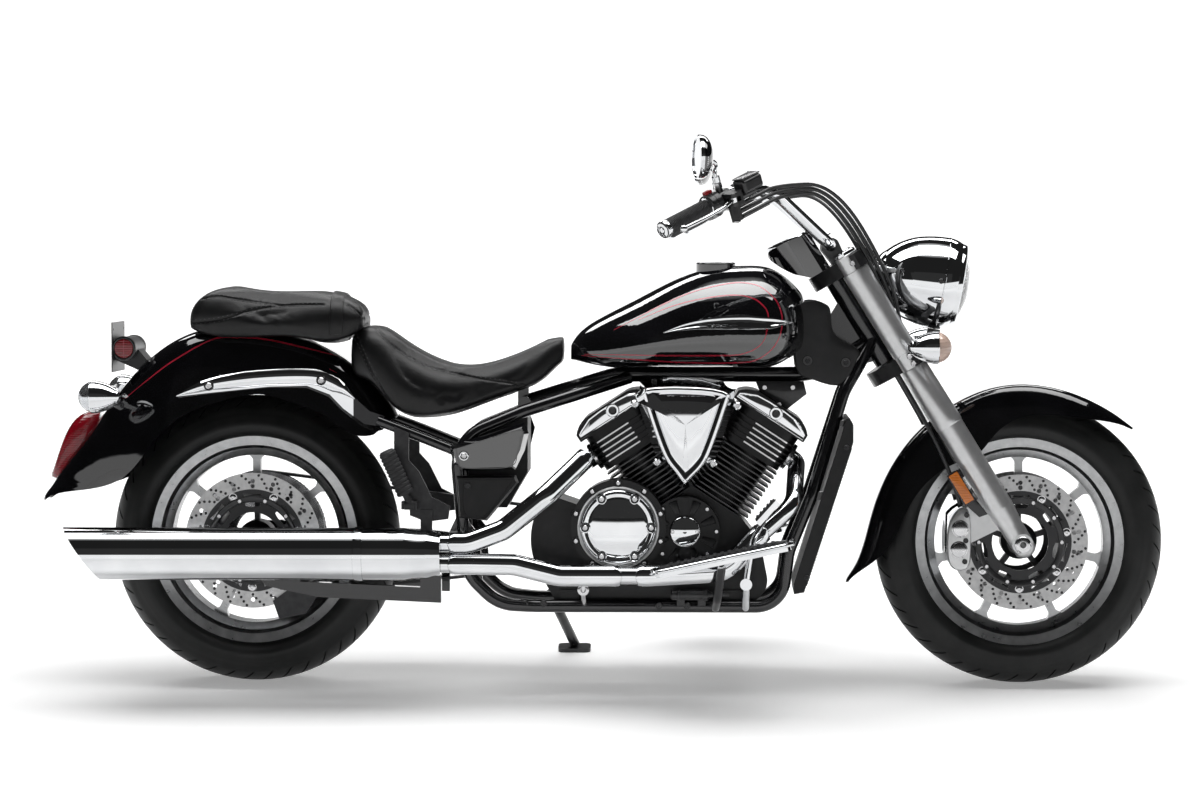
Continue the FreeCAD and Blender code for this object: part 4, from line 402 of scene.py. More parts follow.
lenses = {
    "clear_lens": dict(colour=(0.93, 0.95, 0.97), through=0.92, rough=0.04, lines=260, relief=0.25),
    "amber_lens": dict(colour=(0.95, 0.26, 0.03), through=0.15, rough=0.08, lines=340, relief=0.7),
    "peach_lens": dict(colour=(1.0, 0.74, 0.62), through=0.25, rough=0.06, lines=300, relief=0.6),
    "red_lens": dict(colour=(0.3, 0.004, 0.012), through=0.1, rough=0.08, lines=380, relief=0.5),
}


def makeFinish(name, look):
    material, tree, shader, place = newMaterial(name)
    drift = addNoise(tree, place, look["noise"])
    feed(tree, shader, {"Base Color": ramp(tree, drift, 0.3, 0.72, look["dark"], look["light"]),
                        "Roughness": spread(tree, drift, *look["rough"]), "Metallic": look["metal"],
                        "Specular IOR Level": look.get("shine", 0.5)})
    if "coat" in look:
        feed(tree, shader, {"Coat Weight": look["coat"], "Coat Roughness": 0.02,
                            "Coat IOR": look.get("gloss", 1.5)})
    if "grain" in look:
        scale, strength = look["grain"]
        bump(tree, shader, addNoise(tree, place, scale, 2, 0.6, look.get("stretch")), strength, 0.0006)
    return material


def makeLens(name, look):
    material, tree, shader, place = newMaterial(name)
    colour = look["colour"]
    deep = [channel * 0.88 for channel in colour]
    feed(tree, shader, {"Base Color": ramp(tree, addNoise(tree, place, 30), 0.3, 0.7, deep, colour),
                        "Roughness": look["rough"], "Transmission Weight": look["through"], "IOR": 1.45,
                        "Coat Weight": 0.6})
    flutes = addNode(tree, "TexWave", {"Vector": place, "Scale": look["lines"] / 6}, bands_direction="Z")
    bump(tree, shader, flutes.outputs["Fac"], look["relief"], 0.0008)
    return material


# Grained leather: cells of pores over a soft drift
def makeLeather(name):
    material, tree, shader, place = newMaterial(name)
    drift = addNoise(tree, place, 11, 4)
    tones = ramp(tree, drift, 0.3, 0.75, (0.0035, 0.0035, 0.004), (0.011, 0.011, 0.0115))
    feed(tree, shader, {"Base Color": tones, "Roughness": spread(tree, drift, 0.3, 0.44),
                        "Specular IOR Level": 0.34})
    cells = addNode(tree, "TexVoronoi", {"Vector": place, "Scale": 420}, feature="DISTANCE_TO_EDGE")
    pores = calculate(tree, "MULTIPLY", cells.outputs["Distance"], 1.4)
    bump(tree, shader, calculate(tree, "ADD", pores, addNoise(tree, place, 60, 5, 0.6)), 0.28, 0.0011)
    return material


# A finish that is ready to be changed where a mask is 1
def startFrom(name, look):
    material = makeFinish(name, finishes[look])
    tree = material.node_tree
    place = next(node for node in tree.nodes if node.type == "TEX_COORD").outputs["Object"]
    return material, tree, tree.nodes["Principled BSDF"], place


def tint(tree, shader, mask, colour):
    old = shader.inputs["Base Color"].links[0].from_socket
    blend = addNode(tree, "Mix", {"Factor": mask, "A": old, "B": (*colour, 1)}, data_type="RGBA")
    tree.links.new(blend.outputs["Result"], shader.inputs["Base Color"])


# Black fins whose outer edges are machined bright, on the two cylinders that lean by veeAngle
def makeFins(name, edge, strength):
    material, tree, shader, place = startFrom(name, "engine_black")
    masks = []
    for turn in (veeAngle, -veeAngle):
        x, y, z = placeIn(tree, place, crankFrame @ turned(turn, "Y"))
        out = calculate(tree, "GREATER_THAN", calculate(tree, "ABSOLUTE", y), edge["wide"])
        far = calculate(tree, "GREATER_THAN", calculate(tree, "MULTIPLY", x, math.copysign(1, turn)), edge["from"])
        high = calculate(tree, "LESS_THAN", z, edge["top"])
        low = calculate(tree, "GREATER_THAN", z, edge["low"])
        masks.append(calculate(tree, "MULTIPLY", calculate(tree, "MULTIPLY", out, far),
                               calculate(tree, "MULTIPLY", high, low)))
    mask = calculate(tree, "MULTIPLY", calculate(tree, "MAXIMUM", *masks), strength)
    tint(tree, shader, mask, (0.72, 0.72, 0.73))
    tree.links.new(calculate(tree, "MAXIMUM", mask, 0.35), shader.inputs["Metallic"])
    return material


# One finish inside a mask and another outside it
def makeTwoTone(name, inside, outside, own, maskOf):
    material, tree, shader, place = startFrom(name, outside)
    mask = maskOf(tree, *placeIn(tree, place, own))
    look = finishes[inside]
    tint(tree, shader, mask, look["light"])
    for socket, value in (("Metallic", look["metal"]), ("Roughness", sum(look["rough"]) / 2)):
        old = shader.inputs[socket]
        start = old.links[0].from_socket if old.links else old.default_value
        part = calculate(tree, "MULTIPLY", calculate(tree, "SUBTRACT", 1.0, mask), start)
        tree.links.new(calculate(tree, "ADD", calculate(tree, "MULTIPLY", mask, value), part), old)
    return material


def within(radius):
    def mask(tree, x, y, z):
        far = calculate(tree, "ADD", calculate(tree, "MULTIPLY", x, x), calculate(tree, "MULTIPLY", z, z))
        return calculate(tree, "LESS_THAN", far, radius * radius)
    return mask


# The boards' metal is black on its inner edge and underneath
def boardMask(tree, x, y, z):
    inside = calculate(tree, "LESS_THAN", calculate(tree, "ABSOLUTE", y), 0.232)
    slope = calculate(tree, "MULTIPLY", calculate(tree, "SUBTRACT", x, 1.038), 0.2126)
    under = calculate(tree, "LESS_THAN", calculate(tree, "SUBTRACT", z, slope), 0.277)
    return calculate(tree, "MAXIMUM", inside, under)


finish = {name: makeFinish(name, look) for name, look in finishes.items()}
finish.update({name: makeLens(name, look) for name, look in lenses.items()})
finish["leather"] = makeLeather("leather")
finish["head_fins"] = makeFins("head_fins", {"wide": 0.0895, "from": -0.02, "low": 0.225, "top": 0.295}, 1.0)
finish["barrel_fins"] = makeFins("barrel_fins", {"wide": 0.0858, "from": -0.2, "low": 0.1, "top": 0.224}, 0.12)
twoTones = {
    "front_disc_tones": ("black_metal", "disc_steel", frontFrame, within(0.113)),
    "rear_disc_tones": ("black_metal", "disc_steel", rearFrame, within(0.113)),
    "front_wheel_tones": ("black_metal", "wheel_alloy", frontFrame, within(0.101)),
    "rear_wheel_tones": ("black_metal", "wheel_alloy", rearFrame, within(0.101)),
    "rail_tones": ("frame_black", "chrome", bikeFrame,
                   lambda tree, x, y, z: calculate(tree, "GREATER_THAN", x, 0.226)),
    "tail_tones": ("black_metal", "chrome", bikeFrame,
                   lambda tree, x, y, z: calculate(tree, "GREATER_THAN", z, 0.682)),
    "board_tones": ("black_metal", "chrome", bikeFrame, boardMask),
}
for name, row in twoTones.items():
    finish[name] = makeTwoTone(name, *row)
print("materials made")

# Every node takes the finish of its slot, or one of its own
ownFinish = {"cylinders": "barrel_fins", "cylinder_heads": "head_fins", "rider_seat": "leather",
             "passenger_seat": "leather", "front_discs": "front_disc_tones", "rear_disc": "rear_disc_tones",
             "front_wheel": "front_wheel_tones", "rear_wheel": "rear_wheel_tones", "fender_rails": "rail_tones",
             "tail_brackets": "tail_tones", "peg_brackets": "dark_metal", "rear_caliper": "dark_metal",
             "floorboards": "board_tones", "front_fender": "fender_paint", "rear_fender": "fender_paint",
             "gauge_pod": "black_paint"}
for item in frame["record"]["subparts"]:
    materials = nodes[item["node"]].data.materials
    slot = item["material_slot"] if item["material_slot"] in finish else "dark_metal"
    look = finish[ownFinish.get(item["node"], slot)]
    if not materials:
        materials.append(look)
    for index in range(len(materials)):
        materials[index] = look
print("nodes finished")

# Floor and light
studio = {"floorSize": 70, "floorColour": (0.95, 0.95, 0.95), "softbox": 1.15, "dark": 0.014, "key": 235, "rim": 80,
          "fill": 1.6, "floorGlow": (0.3, 0.95), "glowReach": (2.2, 6.0)}
clearAll()
bpy.ops.mesh.primitive_plane_add(size=studio["floorSize"], location=(0, 0, 0))
floor = bpy.context.object
floor.name = "floor"
# The floor glows only where it is looked at, and brighter farther off
floorPaint, floorTree, floorShader, floorPlace = newMaterial("floor")
floor.data.materials.append(floorPaint)
rays = addNode(floorTree, "LightPath").outputs
seen = calculate(floorTree, "MAXIMUM", rays["Is Camera Ray"], rays["Is Glossy Ray"])
seen = calculate(floorTree, "MAXIMUM", seen, rays["Is Transmission Ray"])
away = addNode(floorTree, "VectorMath", {0: floorPlace}, operation="LENGTH").outputs["Value"]
glow = addNode(floorTree, "MapRange", {"Value": away})
feed(floorTree, glow, dict(zip(("From Min", "From Max", "To Min", "To Max"),
                               (*studio["glowReach"], *studio["floorGlow"]))))
feed(floorTree, floorShader, {"Base Color": (*studio["floorColour"], 1), "Roughness": 0.7,
                              "Specular IOR Level": 0.1, "Emission Color": (1, 1, 1, 1),
                              "Emission Strength": calculate(floorTree, "MULTIPLY", seen, glow.outputs["Result"])})

# A dark room with a white band at the horizon and a softbox overhead; the lens sees it as plain white
world = bpy.data.worlds.new("studio")
bpy.context.scene.world = world
world.use_nodes = True
sky = world.node_tree
skyBand = addNode(sky, "ValToRGB")
for stop, spot in zip(skyBand.color_ramp.elements, (0.0, 1.0)):
    stop.position = spot
    stop.color = (1, 1, 1, 1)
for spot, tone in ((0.004, 0.6), (0.02, studio["dark"]), (0.9, studio["dark"]), (0.97, 0.9)):
    skyBand.color_ramp.elements.new(spot).color = (tone, tone, tone, 1)
skyPlace = addNode(sky, "TexCoord").outputs["Generated"]
skyRise = addNode(sky, "VectorMath", {0: skyPlace, 1: leanTurn.to_3x3().col[2]}, operation="DOT_PRODUCT")
feed(sky, skyBand, {"Fac": skyRise.outputs["Value"]})
room = sky.nodes["Background"]
feed(sky, room, {"Color": skyBand.outputs["Color"], "Strength": studio["softbox"]})
wall = addNode(sky, "Background", {"Color": (1, 1, 1, 1), "Strength": 1.0})
backdrop = addNode(sky, "MixShader", {"Fac": addNode(sky, "LightPath").outputs["Is Camera Ray"],
                                      1: room.outputs["Background"], 2: wall.outputs["Background"]})
feed(sky, sky.nodes["World Output"], {"Surface": backdrop.outputs["Shader"]})


def areaLamp(name, place, aim, size, power):
    data = bpy.data.lights.new(name, "AREA")
    data.shape = "RECTANGLE"
    data.size, data.size_y = size
    data.energy = power
    lamp = newObject(name, data)
    lamp.location = place
    lamp.rotation_euler = (Vector(aim) - Vector(place)).to_track_quat("-Z", "Y").to_euler()


areaLamp("key", (0.2, 0.5, 4.9), (0.2, 0, 0.5), (7.0, 2.4), studio["key"])
areaLamp("rim", (-0.3, 3.8, 3.2), (0, 0, 0.6), (5.5, 0.9), studio["rim"])
areaLamp("fill", (0.4, -6.5, 3.4), (0.2, 0, 0.5), (9.0, 3.0), studio["fill"])
bpy.context.scene.view_settings.view_transform = "Standard"
print("studio lit")

# Seats: padded skins that swell over the solids, then pressed seams and stitches
seat = {"voxel": 0.006, "shrink": 0.0035, "pressure": 4.0, "frames": 20, "cap": 0.008, "seamDepth": 0.0028,
        "seamWidth": 0.003, "stitch": (3.6, 0.75), "pitch": 6.5, "stitchGap": 4.2}
seams = {
    "rider_seat": [
        [(268, 792), (290, 769), (326, 739), (380, 709), (439, 691), (499, 678), (559, 669), (596, 662)],
        [(227, 768), (242, 742), (260, 706), (284, 658), (308, 622), (330, 604)]],
    "passenger_seat": [
        [(-134, 800), (-66, 808), (6, 828), (78, 838), (158, 840)],
        [(-112, 852), (-78, 858), (-24, 850), (66, 838)],
        [(214, 838), (232, 826), (246, 810)]],
}


def swell(piece, pinned):
    cloth = piece.modifiers.new("cloth", "CLOTH").settings
    cloth.use_pressure = True
    cloth.uniform_pressure_force = seat["pressure"]
    cloth.effector_weights.gravity = 0
    cloth.vertex_group_mass = pinned
    cloth.tension_stiffness = 12
    cloth.compression_stiffness = 12
    cloth.bending_stiffness = 0.4
    scene = bpy.context.scene
    for step in range(1, seat["frames"] + 1):
        scene.frame_set(step)
    swollen = piece.evaluated_get(bpy.context.evaluated_depsgraph_get()).to_mesh()
    spots = [vertex.co.copy() for vertex in swollen.vertices]
    piece.evaluated_get(bpy.context.evaluated_depsgraph_get()).to_mesh_clear()
    piece.modifiers.clear()
    scene.frame_set(1)
    for vertex, spot in zip(piece.data.vertices, spots):
        move = spot - vertex.co
        if move.length > seat["cap"]:
            move *= seat["cap"] / move.length
        vertex.co += move


def makeSeat(node):
    piece = newObject(node + "_pad", nodes[node].data.copy())
    editAll(piece, lambda: bpy.ops.mesh.remove_doubles(threshold=0.0002))
    useModifier(piece, "REMESH", mode="VOXEL", voxel_size=seat["voxel"])
    useModifier(piece, "SMOOTH", factor=0.5, iterations=4)
    useModifier(piece, "DISPLACE", strength=-seat["shrink"], mid_level=0.0)
    group = piece.vertex_groups.new(name="base")
    up = leanTurn.to_3x3().col[2]
    group.add([v.index for v in piece.data.vertices if v.normal.dot(up) < -0.55], 1.0, "REPLACE")
    swell(piece, "base")
    useModifier(piece, "SUBSURF", levels=1, render_levels=1)
    pressed = []
    for line in seams[node]:
        for hand in (-1, 1):
            found = onSide(surface(piece.name), flatLine(line, 5), hand)
            if len(found) > 4:
                pressed.append(found)
    for line in pressed:
        tree = BVHTree.FromPolygons(line + [p + Vector((0, 0, 1e-5)) for p in line],
                                    [(i, i + 1, i + 1 + len(line), i + len(line)) for i in range(len(line) - 1)])
        for vertex in piece.data.vertices:
            spot, normal, index, far = tree.find_nearest(vertex.co, seat["seamWidth"] * 3)
            if spot:
                press = math.exp(-((far / seat["seamWidth"]) ** 2))
                vertex.co -= vertex.normal * seat["seamDepth"] * press
    settle(piece, node + "_pad", "chassis", "leather", angle=60)
    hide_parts(node)
    stitches = []
    tree = surface(piece.name)
    model = cylinder(seat["stitch"][1] * 0.001, seat["stitch"][0] * 0.001, 6)
    roundEdges(model, seat["stitch"][1] * 0.0006, 1)
    for line in pressed:
        for rowSide in (-1, 1):
            path = []
            for a, b in zip(line, line[1:]):
                ahead = (b - a).normalized()
                spot, normal, index, far = tree.find_nearest(a)
                across = normal.cross(ahead).normalized()
                spot, normal, index, far = tree.find_nearest(a + across * rowSide * seat["stitchGap"] * 0.001)
                path.append(spot + normal * 0.0002)
            walked = 0.0
            for a, b in zip(path, path[1:]):
                walked += (b - a).length
                if walked >= seat["pitch"] * 0.001 and (b - a).length > 1e-5:
                    walked = 0.0
                    stitches.append(aimed(a, b - a) @ Matrix.Translation((0, 0, -seat["stitch"][0] * 0.0005)))
    thread = copies(model, stitches)
    settle(thread, node + "_stitches", "chassis", "thread")
    print(node, "padded,", len(stitches), "stitches")


for name in seams:
    makeSeat(name)

# Passenger strap: a flat band over the cushion, with a welt along each edge
strap = {"from": 176, "width": 24, "rings": 5, "points": 41, "angles": (-12, 192), "centre": 800, "reach": 400,
         "thick": 4.4, "welt": 2.2}


def strapRing(x, tree):
    ring = []
    low, high = strap["angles"]
    centre = bikeFrame @ Vector((x, 0, strap["centre"]))
    for step in range(strap["points"]):
        angle = math.radians(low + (high - low) * step / (strap["points"] - 1))
        away = strap["reach"] * Vector((0, math.cos(angle), math.sin(angle)))
        far = bikeFrame @ (Vector((x, 0, strap["centre"])) + away)
        spot, normal, index, reach = tree.ray_cast(far, (centre - far).normalized())
        ring.append(spot + normal * strap["thick"] * 0.0005)
    return ring


tree = surface("passenger_seat_pad")
rings = [strapRing(strap["from"] + strap["width"] * i / (strap["rings"] - 1), tree)
         for i in range(strap["rings"])]
band = fromPoints("band", [p for ring in rings for p in ring], faces=gridFaces(strap["rings"], strap["points"]))
editAll(band, outward)
useModifier(band, "SOLIDIFY", thickness=strap["thick"] * 0.001, offset=0.0)
roundEdges(band, 0.0007)
settle(band, "passenger_strap", "chassis", "leather", angle=50)
welts = [pipe(ring, strap["welt"] * 0.001) for ring in (rings[0], rings[-1])]
settle(joined(welts), "passenger_strap_welts", "chassis", "leather", angle=50)
print("strap made")

# Tyres: the crown carries slanted grooves, the walls carry plain ribs
tyres = {
    "front_tyre": dict(frame=frontFrame, body="front_wheel", radius=316, half=65, crown=65, bead=42.7, pitches=44),
    "rear_tyre": dict(frame=rearFrame, body="rear_wheel", radius=318, half=85, crown=100, bead=55.7, pitches=44),
}
groove = {"wide": 0.11, "deep": 3.2, "reach": 0.93, "slant": 0.95}


def makeTyre(name, look):
    radius, half, crown, beadY, seatR = look["radius"], look["half"], look["crown"], look["bead"], 216.2
    edge = half * 0.8
    shoulder = radius - crown + math.sqrt(crown * crown - edge * edge)
    wall = smoothLine([(edge, shoulder, 0), (half * 0.925, shoulder - (shoulder - seatR) * 0.26, 0),
                       (half, seatR + (radius - seatR) * 0.42, 0), (half * 0.955, seatR + 25, 0),
                       ((beadY + half * 0.93) / 2, seatR + 14, 0), (beadY, seatR + 11, 0), (beadY, seatR, 0)], 4)
    ribs = []
    for index, spot in enumerate(wall):
        high = 0.9 if index in (4, 5, 9, 10) else 0
        ribs.append((spot.x + high, spot.y))
    crownRows = 16
    arc = [(edge * s / crownRows, radius - crown + math.sqrt(crown * crown - (edge * s / crownRows) ** 2))
           for s in range(crownRows)]
    profile = [(-y, r) for y, r in reversed(ribs)] + [(-y, r) for y, r in reversed(arc[1:])] + arc + ribs
    columns = look["pitches"] * 4
    share = [0, groove["wide"], 0.5, 0.5 + groove["wide"]]
    points, faces, cut = [], [], []
    rows = len(profile)
    for column in range(columns):
        turn = (column // 4 + share[column % 4]) / look["pitches"]
        for y, r in profile:
            lean = groove["slant"] * min(abs(y) / edge, 1.0) ** 1.3 / look["pitches"]
            angle = math.tau * (turn + lean)
            points.append((r * math.cos(angle), y, r * math.sin(angle)))
    for column in range(columns):
        after = (column + 1) % columns
        for row in range(rows - 1):
            faces.append((column * rows + row, column * rows + row + 1, after * rows + row + 1, after * rows + row))
            y = (profile[row][0] + profile[row + 1][0]) / 2
            right = column % 4 == 0 and 0.1 * edge < -y < groove["reach"] * edge
            left = column % 4 == 2 and 0.1 * edge < y < groove["reach"] * edge
            if right or left:
                cut.append(len(faces) - 1)
    piece = fromPoints(name, points, faces=faces)
    editAll(piece, lambda: bpy.ops.mesh.normals_make_consistent(inside=False),
            lambda: bpy.ops.mesh.select_all(action="DESELECT"))
    for index in cut:
        piece.data.polygons[index].select = True
    activate(piece)
    bpy.ops.object.mode_set(mode="EDIT")
    bpy.ops.mesh.select_mode(type="FACE")
    bpy.ops.mesh.extrude_region_shrink_fatten(TRANSFORM_OT_shrink_fatten={"value": -groove["deep"]})
    bpy.ops.object.mode_set(mode="OBJECT")
    settle(piece, name + "_tread", look["body"], "tyre", look["frame"], 32)
    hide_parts(name)


for name, look in tyres.items():
    makeTyre(name, look)
print("tyres made")

# Control cables and brake hoses: the routes of the solids, as smooth lines
gripOut = {"length": 120, "housing": 34}
barEnd = [Vector((-140, -310, 981)), Vector((-300, -443, 991))]
along = (barEnd[1] - barEnd[0]).normalized()
gripUp = turned(stance["rake"], "Y") @ Vector((0, 0, 1))
ahead = gripUp.cross(along).normalized()
gripFrame = Matrix.Translation(barEnd[1]) @ Matrix((along, ahead, along.cross(ahead))).transposed().to_4x4()
inner = -gripOut["length"] - 2 - gripOut["housing"]
cableStart = gripFrame @ Vector((inner - 31.3, 21, -21))
cables = []
for step in range(3):
    first = cableStart + Vector((0, 0, 12.5 * (step - 2)))
    cables.append((8, [first, first + Vector((48, 38, -3)), first + Vector((96, 76, -6)),
                       (38 + 12 * step, -150, 880 + 3 * step), (38 + 11 * step, -88, 640),
                       (11 * step - 7, -73, 524), (11 * step - 7, -73, 488.3)]))
cables.append((9, [(-38, -86, 454.7), (-38, -86, 428), (-42, -104, 300), (-56, -98, 190), (-70, -80, 141)]))


def makeCord(name, points, diameter, hand):
    place = forkFrame if hand < 0 else mirrored(forkFrame)
    data = bpy.data.curves.new(name, "CURVE")
    data.dimensions = "3D"
    spline = data.splines.new("NURBS")
    spline.points.add(len(points) - 1)
    for spot, point in zip(spline.points, points):
        spot.co = (*(place @ Vector(point)), 1)
    spline.order_u = 3
    spline.use_endpoint_u = True
    spline.resolution_u = 12
    bare = newObject(name, data)
    line = bpy.data.meshes.new_from_object(bare)
    data.bevel_depth = diameter * 0.0005
    data.bevel_resolution = 3
    data.use_fill_caps = True
    data.materials.append(finish["cable_rubber"])
    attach(bare, "steering")
    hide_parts("control_cables")


for hand in (-1, 1):
    for index, (diameter, points) in enumerate(cables):
        makeCord(f"cable_{'right' if hand < 0 else 'left'}_{index + 1}", points, diameter, hand)
print("cables made")

# Ways of laying trim: a strip is flat, with its rise as height, until it is draped on a surface
def strip(line, widths, rise, rows=4, step=4.0):
    middle = [Vector((x, y)) for x, y in flatLine(line, step)]
    spans = [0.0]
    for a, b in zip(middle, middle[1:]):
        spans.append(spans[-1] + (b - a).length)
    points = []
    for index, spot in enumerate(middle):
        before, after = middle[max(index - 1, 0)], middle[min(index + 1, len(middle) - 1)]
        across = (after - before).normalized()
        across = Vector((-across.y, across.x))
        place = spans[index] / spans[-1] * (len(widths) - 1)
        low = min(int(place), len(widths) - 2)
        wide = widths[low] + (widths[low + 1] - widths[low]) * (place - low)
        for row in range(rows + 1):
            side = row * 2 / rows - 1
            edge = spot + across * side * wide / 2
            points.append((edge.x, edge.y, rise(side) * min(1, wide / max(widths) * 1.5)))
    faces = []
    for index in range(len(middle) - 1):
        for row in range(rows):
            a = index * (rows + 1) + row
            faces.append((a, a + rows + 1, a + rows + 2, a + 1))
    return fromPoints("strip", points, faces=faces)


def drape(piece, hand, tree, thick):
    way = (leanTurn.to_3x3() @ Vector((0, -hand, 0))).normalized()
    for vertex in piece.data.vertices:
        x, z, high = vertex.co
        spot, normal, index, far = tree.ray_cast(bikeFrame @ Vector((x, hand * 700, z)), way)
        if spot is None or normal.dot(way) > -0.12:
            spot, normal, index, far = tree.find_nearest(bikeFrame @ Vector((x, hand * 150, z)))
        vertex.co = spot + normal * high * 0.001
    if hand > 0:
        piece.data.flip_normals()
    useModifier(piece, "SOLIDIFY", thickness=thick * 0.001, offset=-1)
    return piece


def drapedBoth(line, widths, rise, node, thick, rows=4):
    tree = surface(node)
    return joined([drape(strip(line, widths, rise, rows), hand, tree, thick) for hand in (-1, 1)])


# A closed outline as rings of (inset, height), then a top that rises with rise(spot, share of the way out)
def crowned(points, rings, rise, rounds=10):
    closed = [Vector((x, y)) for x, y in points]
    count = len(closed)
    area = sum(a.x * b.y - b.x * a.y for a, b in zip(closed, closed[1:] + closed[:1]))
    turn = 1 if area > 0 else -1
    loops = []
    for inset, high in rings:
        ring = []
        for index, spot in enumerate(closed):
            ahead = (closed[(index + 1) % count] - closed[index - 1]).normalized()
            ring.append((spot + Vector((-ahead.y, ahead.x)) * turn * inset, high))
        loops.append(ring)
    last = [spot for spot, high in loops[-1]]
    base = rings[-1][1]
    centre = sum(last, Vector((0, 0))) / count
    for step in range(1, rounds):
        share = 1 - step / rounds
        ring = []
        for spot in last:
            spot = centre + (spot - centre) * share
            ring.append((spot, base + rise(spot, share)))
        loops.append(ring)
    vertices = [(spot.x, spot.y, high) for ring in loops for spot, high in ring]
    vertices.append((centre.x, centre.y, base + rise(centre, 0)))
    faces = []
    for ring in range(len(loops) - 1):
        for index in range(count):
            after = (index + 1) % count
            faces.append((ring * count + index, ring * count + after,
                          (ring + 1) * count + after, (ring + 1) * count + index))
    top = (len(loops) - 1) * count
    faces += [(top + index, top + (index + 1) % count, len(vertices) - 1) for index in range(count)]
    faces.append(tuple(range(count))[::-1])
    piece = fromPoints("crowned", vertices, faces=faces)
    editAll(piece, outward)
    return piece


def closedLine(points, step=4.0):
    ring = list(points)
    line = smoothLine([(x, y, 0) for x, y in ring[-2:] + ring + ring[:3]], step)
    passes = [i for i, p in enumerate(line) if (p - Vector((*ring[0], 0))).length < 1e-4]
    return [(p.x, p.y) for p in line[passes[0]:passes[-1]]]


def ringAround(centre, radius, count, start=0.0):
    angles = [math.radians(start + 360 * i / count) for i in range(count)]
    return [(centre[0] + radius * math.cos(angle), centre[1] + radius * math.sin(angle)) for angle in angles]


def onRight(frame, spots, aside):
    return [frame @ at(x, -aside, z, toRight) for x, z in spots]


def onLeft(frame, spots, aside):
    return onRight(frame @ leftTwin, spots, aside)


def onBoth(frame, spots, aside):
    return onRight(frame, spots, aside) + onLeft(frame, spots, aside)


# One shape at several places, as one piece
def put(name, look, shape, places, body="chassis", angle=35):
    return settle(copies(shape, places), name, body, look, angle=angle)


# Button heads with a round socket
def bolts(name, look, places, radius, high, body="chassis"):
    head = lathe([(0.001, high * 0.45), (radius * 0.48, high * 0.45), (radius * 0.5, high), (radius * 0.78, high),
                  (radius * 0.97, high * 0.72), (radius, 0)], 24)
    put(name, look, head, places, body, 30)


# Tank: two pinstripes and a blank spear badge on each side, and a cap in its well
tank = {
    "outer": [(724, 727), (814, 722), (923, 715), (995, 713), (1053, 713), (1103, 718), (1139, 740), (1159, 771),
              (1165, 804), (1161, 829), (1150, 851), (1125, 874), (1103, 884), (1067, 888), (1016, 880), (959, 864),
              (894, 835), (850, 812), (796, 784)],
    "inner": [(730, 730), (814, 730), (923, 729), (1049, 730), (1085, 735), (1114, 750), (1128, 771), (1134, 804),
              (1133, 822), (1125, 836), (1103, 853), (1063, 861), (995, 854), (923, 836), (850, 806)],
    "stripeWidths": [1.2, 3, 3, 3, 3, 3, 3, 1.2],
    "badge": [(906, 779), (945, 790), (985, 797), (1035, 801), (1085, 802), (1135, 800), (1189, 801)],
    "badgeWidths": [1, 15, 25, 31, 32, 25, 1], "capAt": (1020, 0, 921.8),
    "cap": [(0.001, 11), (16, 10.6), (30, 8.4), (38, 5.2), (40.5, 2.2), (40.5, -1.5), (43.6, -1.5), (43.9, 0.2),
            (43.4, 1.2), (41.2, 1.4)],
}


def badgeRise(side):
    return 4.6 - 2.2 * math.exp(-((side / 0.5) ** 4)) if abs(side) < 0.9 else 1.2


stripes = [drapedBoth(tank[line], tank["stripeWidths"], lambda side: 0.25, "fuel_tank", 0.5, 2)
           for line in ("outer", "inner")]
settle(joined(stripes), "tank_pinstripes", "chassis", "stripe_red")
badges = drapedBoth(tank["badge"], tank["badgeWidths"], badgeRise, "fuel_tank", 1.2, 16)
settle(badges, "tank_badges", "chassis", "chrome", angle=50)
settle(lathe(tank["cap"], 72), "tank_cap_crown", "chassis", "chrome", bikeFrame @ at(*tank["capAt"]))
print("tank trimmed")

# Rear fender: a red line along each shoulder, and crowned rails with two bolts
fender = {
    "line": [(-281, 633), (-233, 672), (-175, 715), (-90, 762), (-36, 767), (27, 763), (102, 747), (176, 728),
             (203, 715)],
    "lineWidths": [1, 3, 3, 3, 3, 3, 1],
    "rail": [(-163, 640), (-128, 653), (-86, 665), (-4, 676.5), (73, 681.5), (138, 681), (168, 672), (202, 655),
             (229, 634)],
    "railWidths": [2, 21, 30, 34, 34, 35, 34, 32, 3], "face": 125.8,
    "bolts": [(-91, 662), (156, 674)], "boltFace": 133,
}
lines = drapedBoth(fender["line"], fender["lineWidths"], lambda side: 0.3, "rear_fender", 0.5, 2)
settle(lines, "fender_lines", "chassis", "stripe_red")
rails = strip(fender["rail"], fender["railWidths"], lambda side: 1.2 + 6.2 * (1 - abs(side) ** 2.4), 14)
useModifier(rails, "SOLIDIFY", thickness=1.2, offset=-1)
put("fender_rail_covers", "chrome", rails, onBoth(bikeFrame, [(0, 0)], fender["face"]), angle=40)
washer = lathe([(6.2, 0), (6.2, 3.2), (9.5, 3.2), (11, 1.2), (11, -2)], 32)
places = onBoth(bikeFrame, fender["bolts"], fender["boltFace"])
put("fender_rail_washers", "slot_black", washer, places)
bolts("fender_rail_bolts", "bright_alloy", places, 7, 4.5)
print("fender trimmed")

# Air cleaner: a rimmed, crowned cover with two flutes, and four lugs
cleaner = {
    "face": [(-125, 317), (-121, 337), (-106, 349), (-50, 354), (25, 352), (69, 345), (91, 334), (100, 318),
             (95, 296), (51, 174), (12, 124), (-2, 112), (-18, 107), (-32, 116), (-46, 134), (-81, 187)],
    "rings": [(17, -9), (18, 0.5), (20.5, 4.2), (24, 5.4), (28, 5.0), (31, 2.2), (34, 0.8)],
    "bow": (10, 0.0009, 262), "aside": 214.3, "lugs": [(-125, 296), (99, 292), (-76, 168), (47, 166)],
    "lugFoot": 138, "lugTop": 154,
    "flutes": [((-44, 262), (-40, 129)), ((20, 276), (6, 133))], "fluteWide": 8, "fluteDeep": 3.0,
}


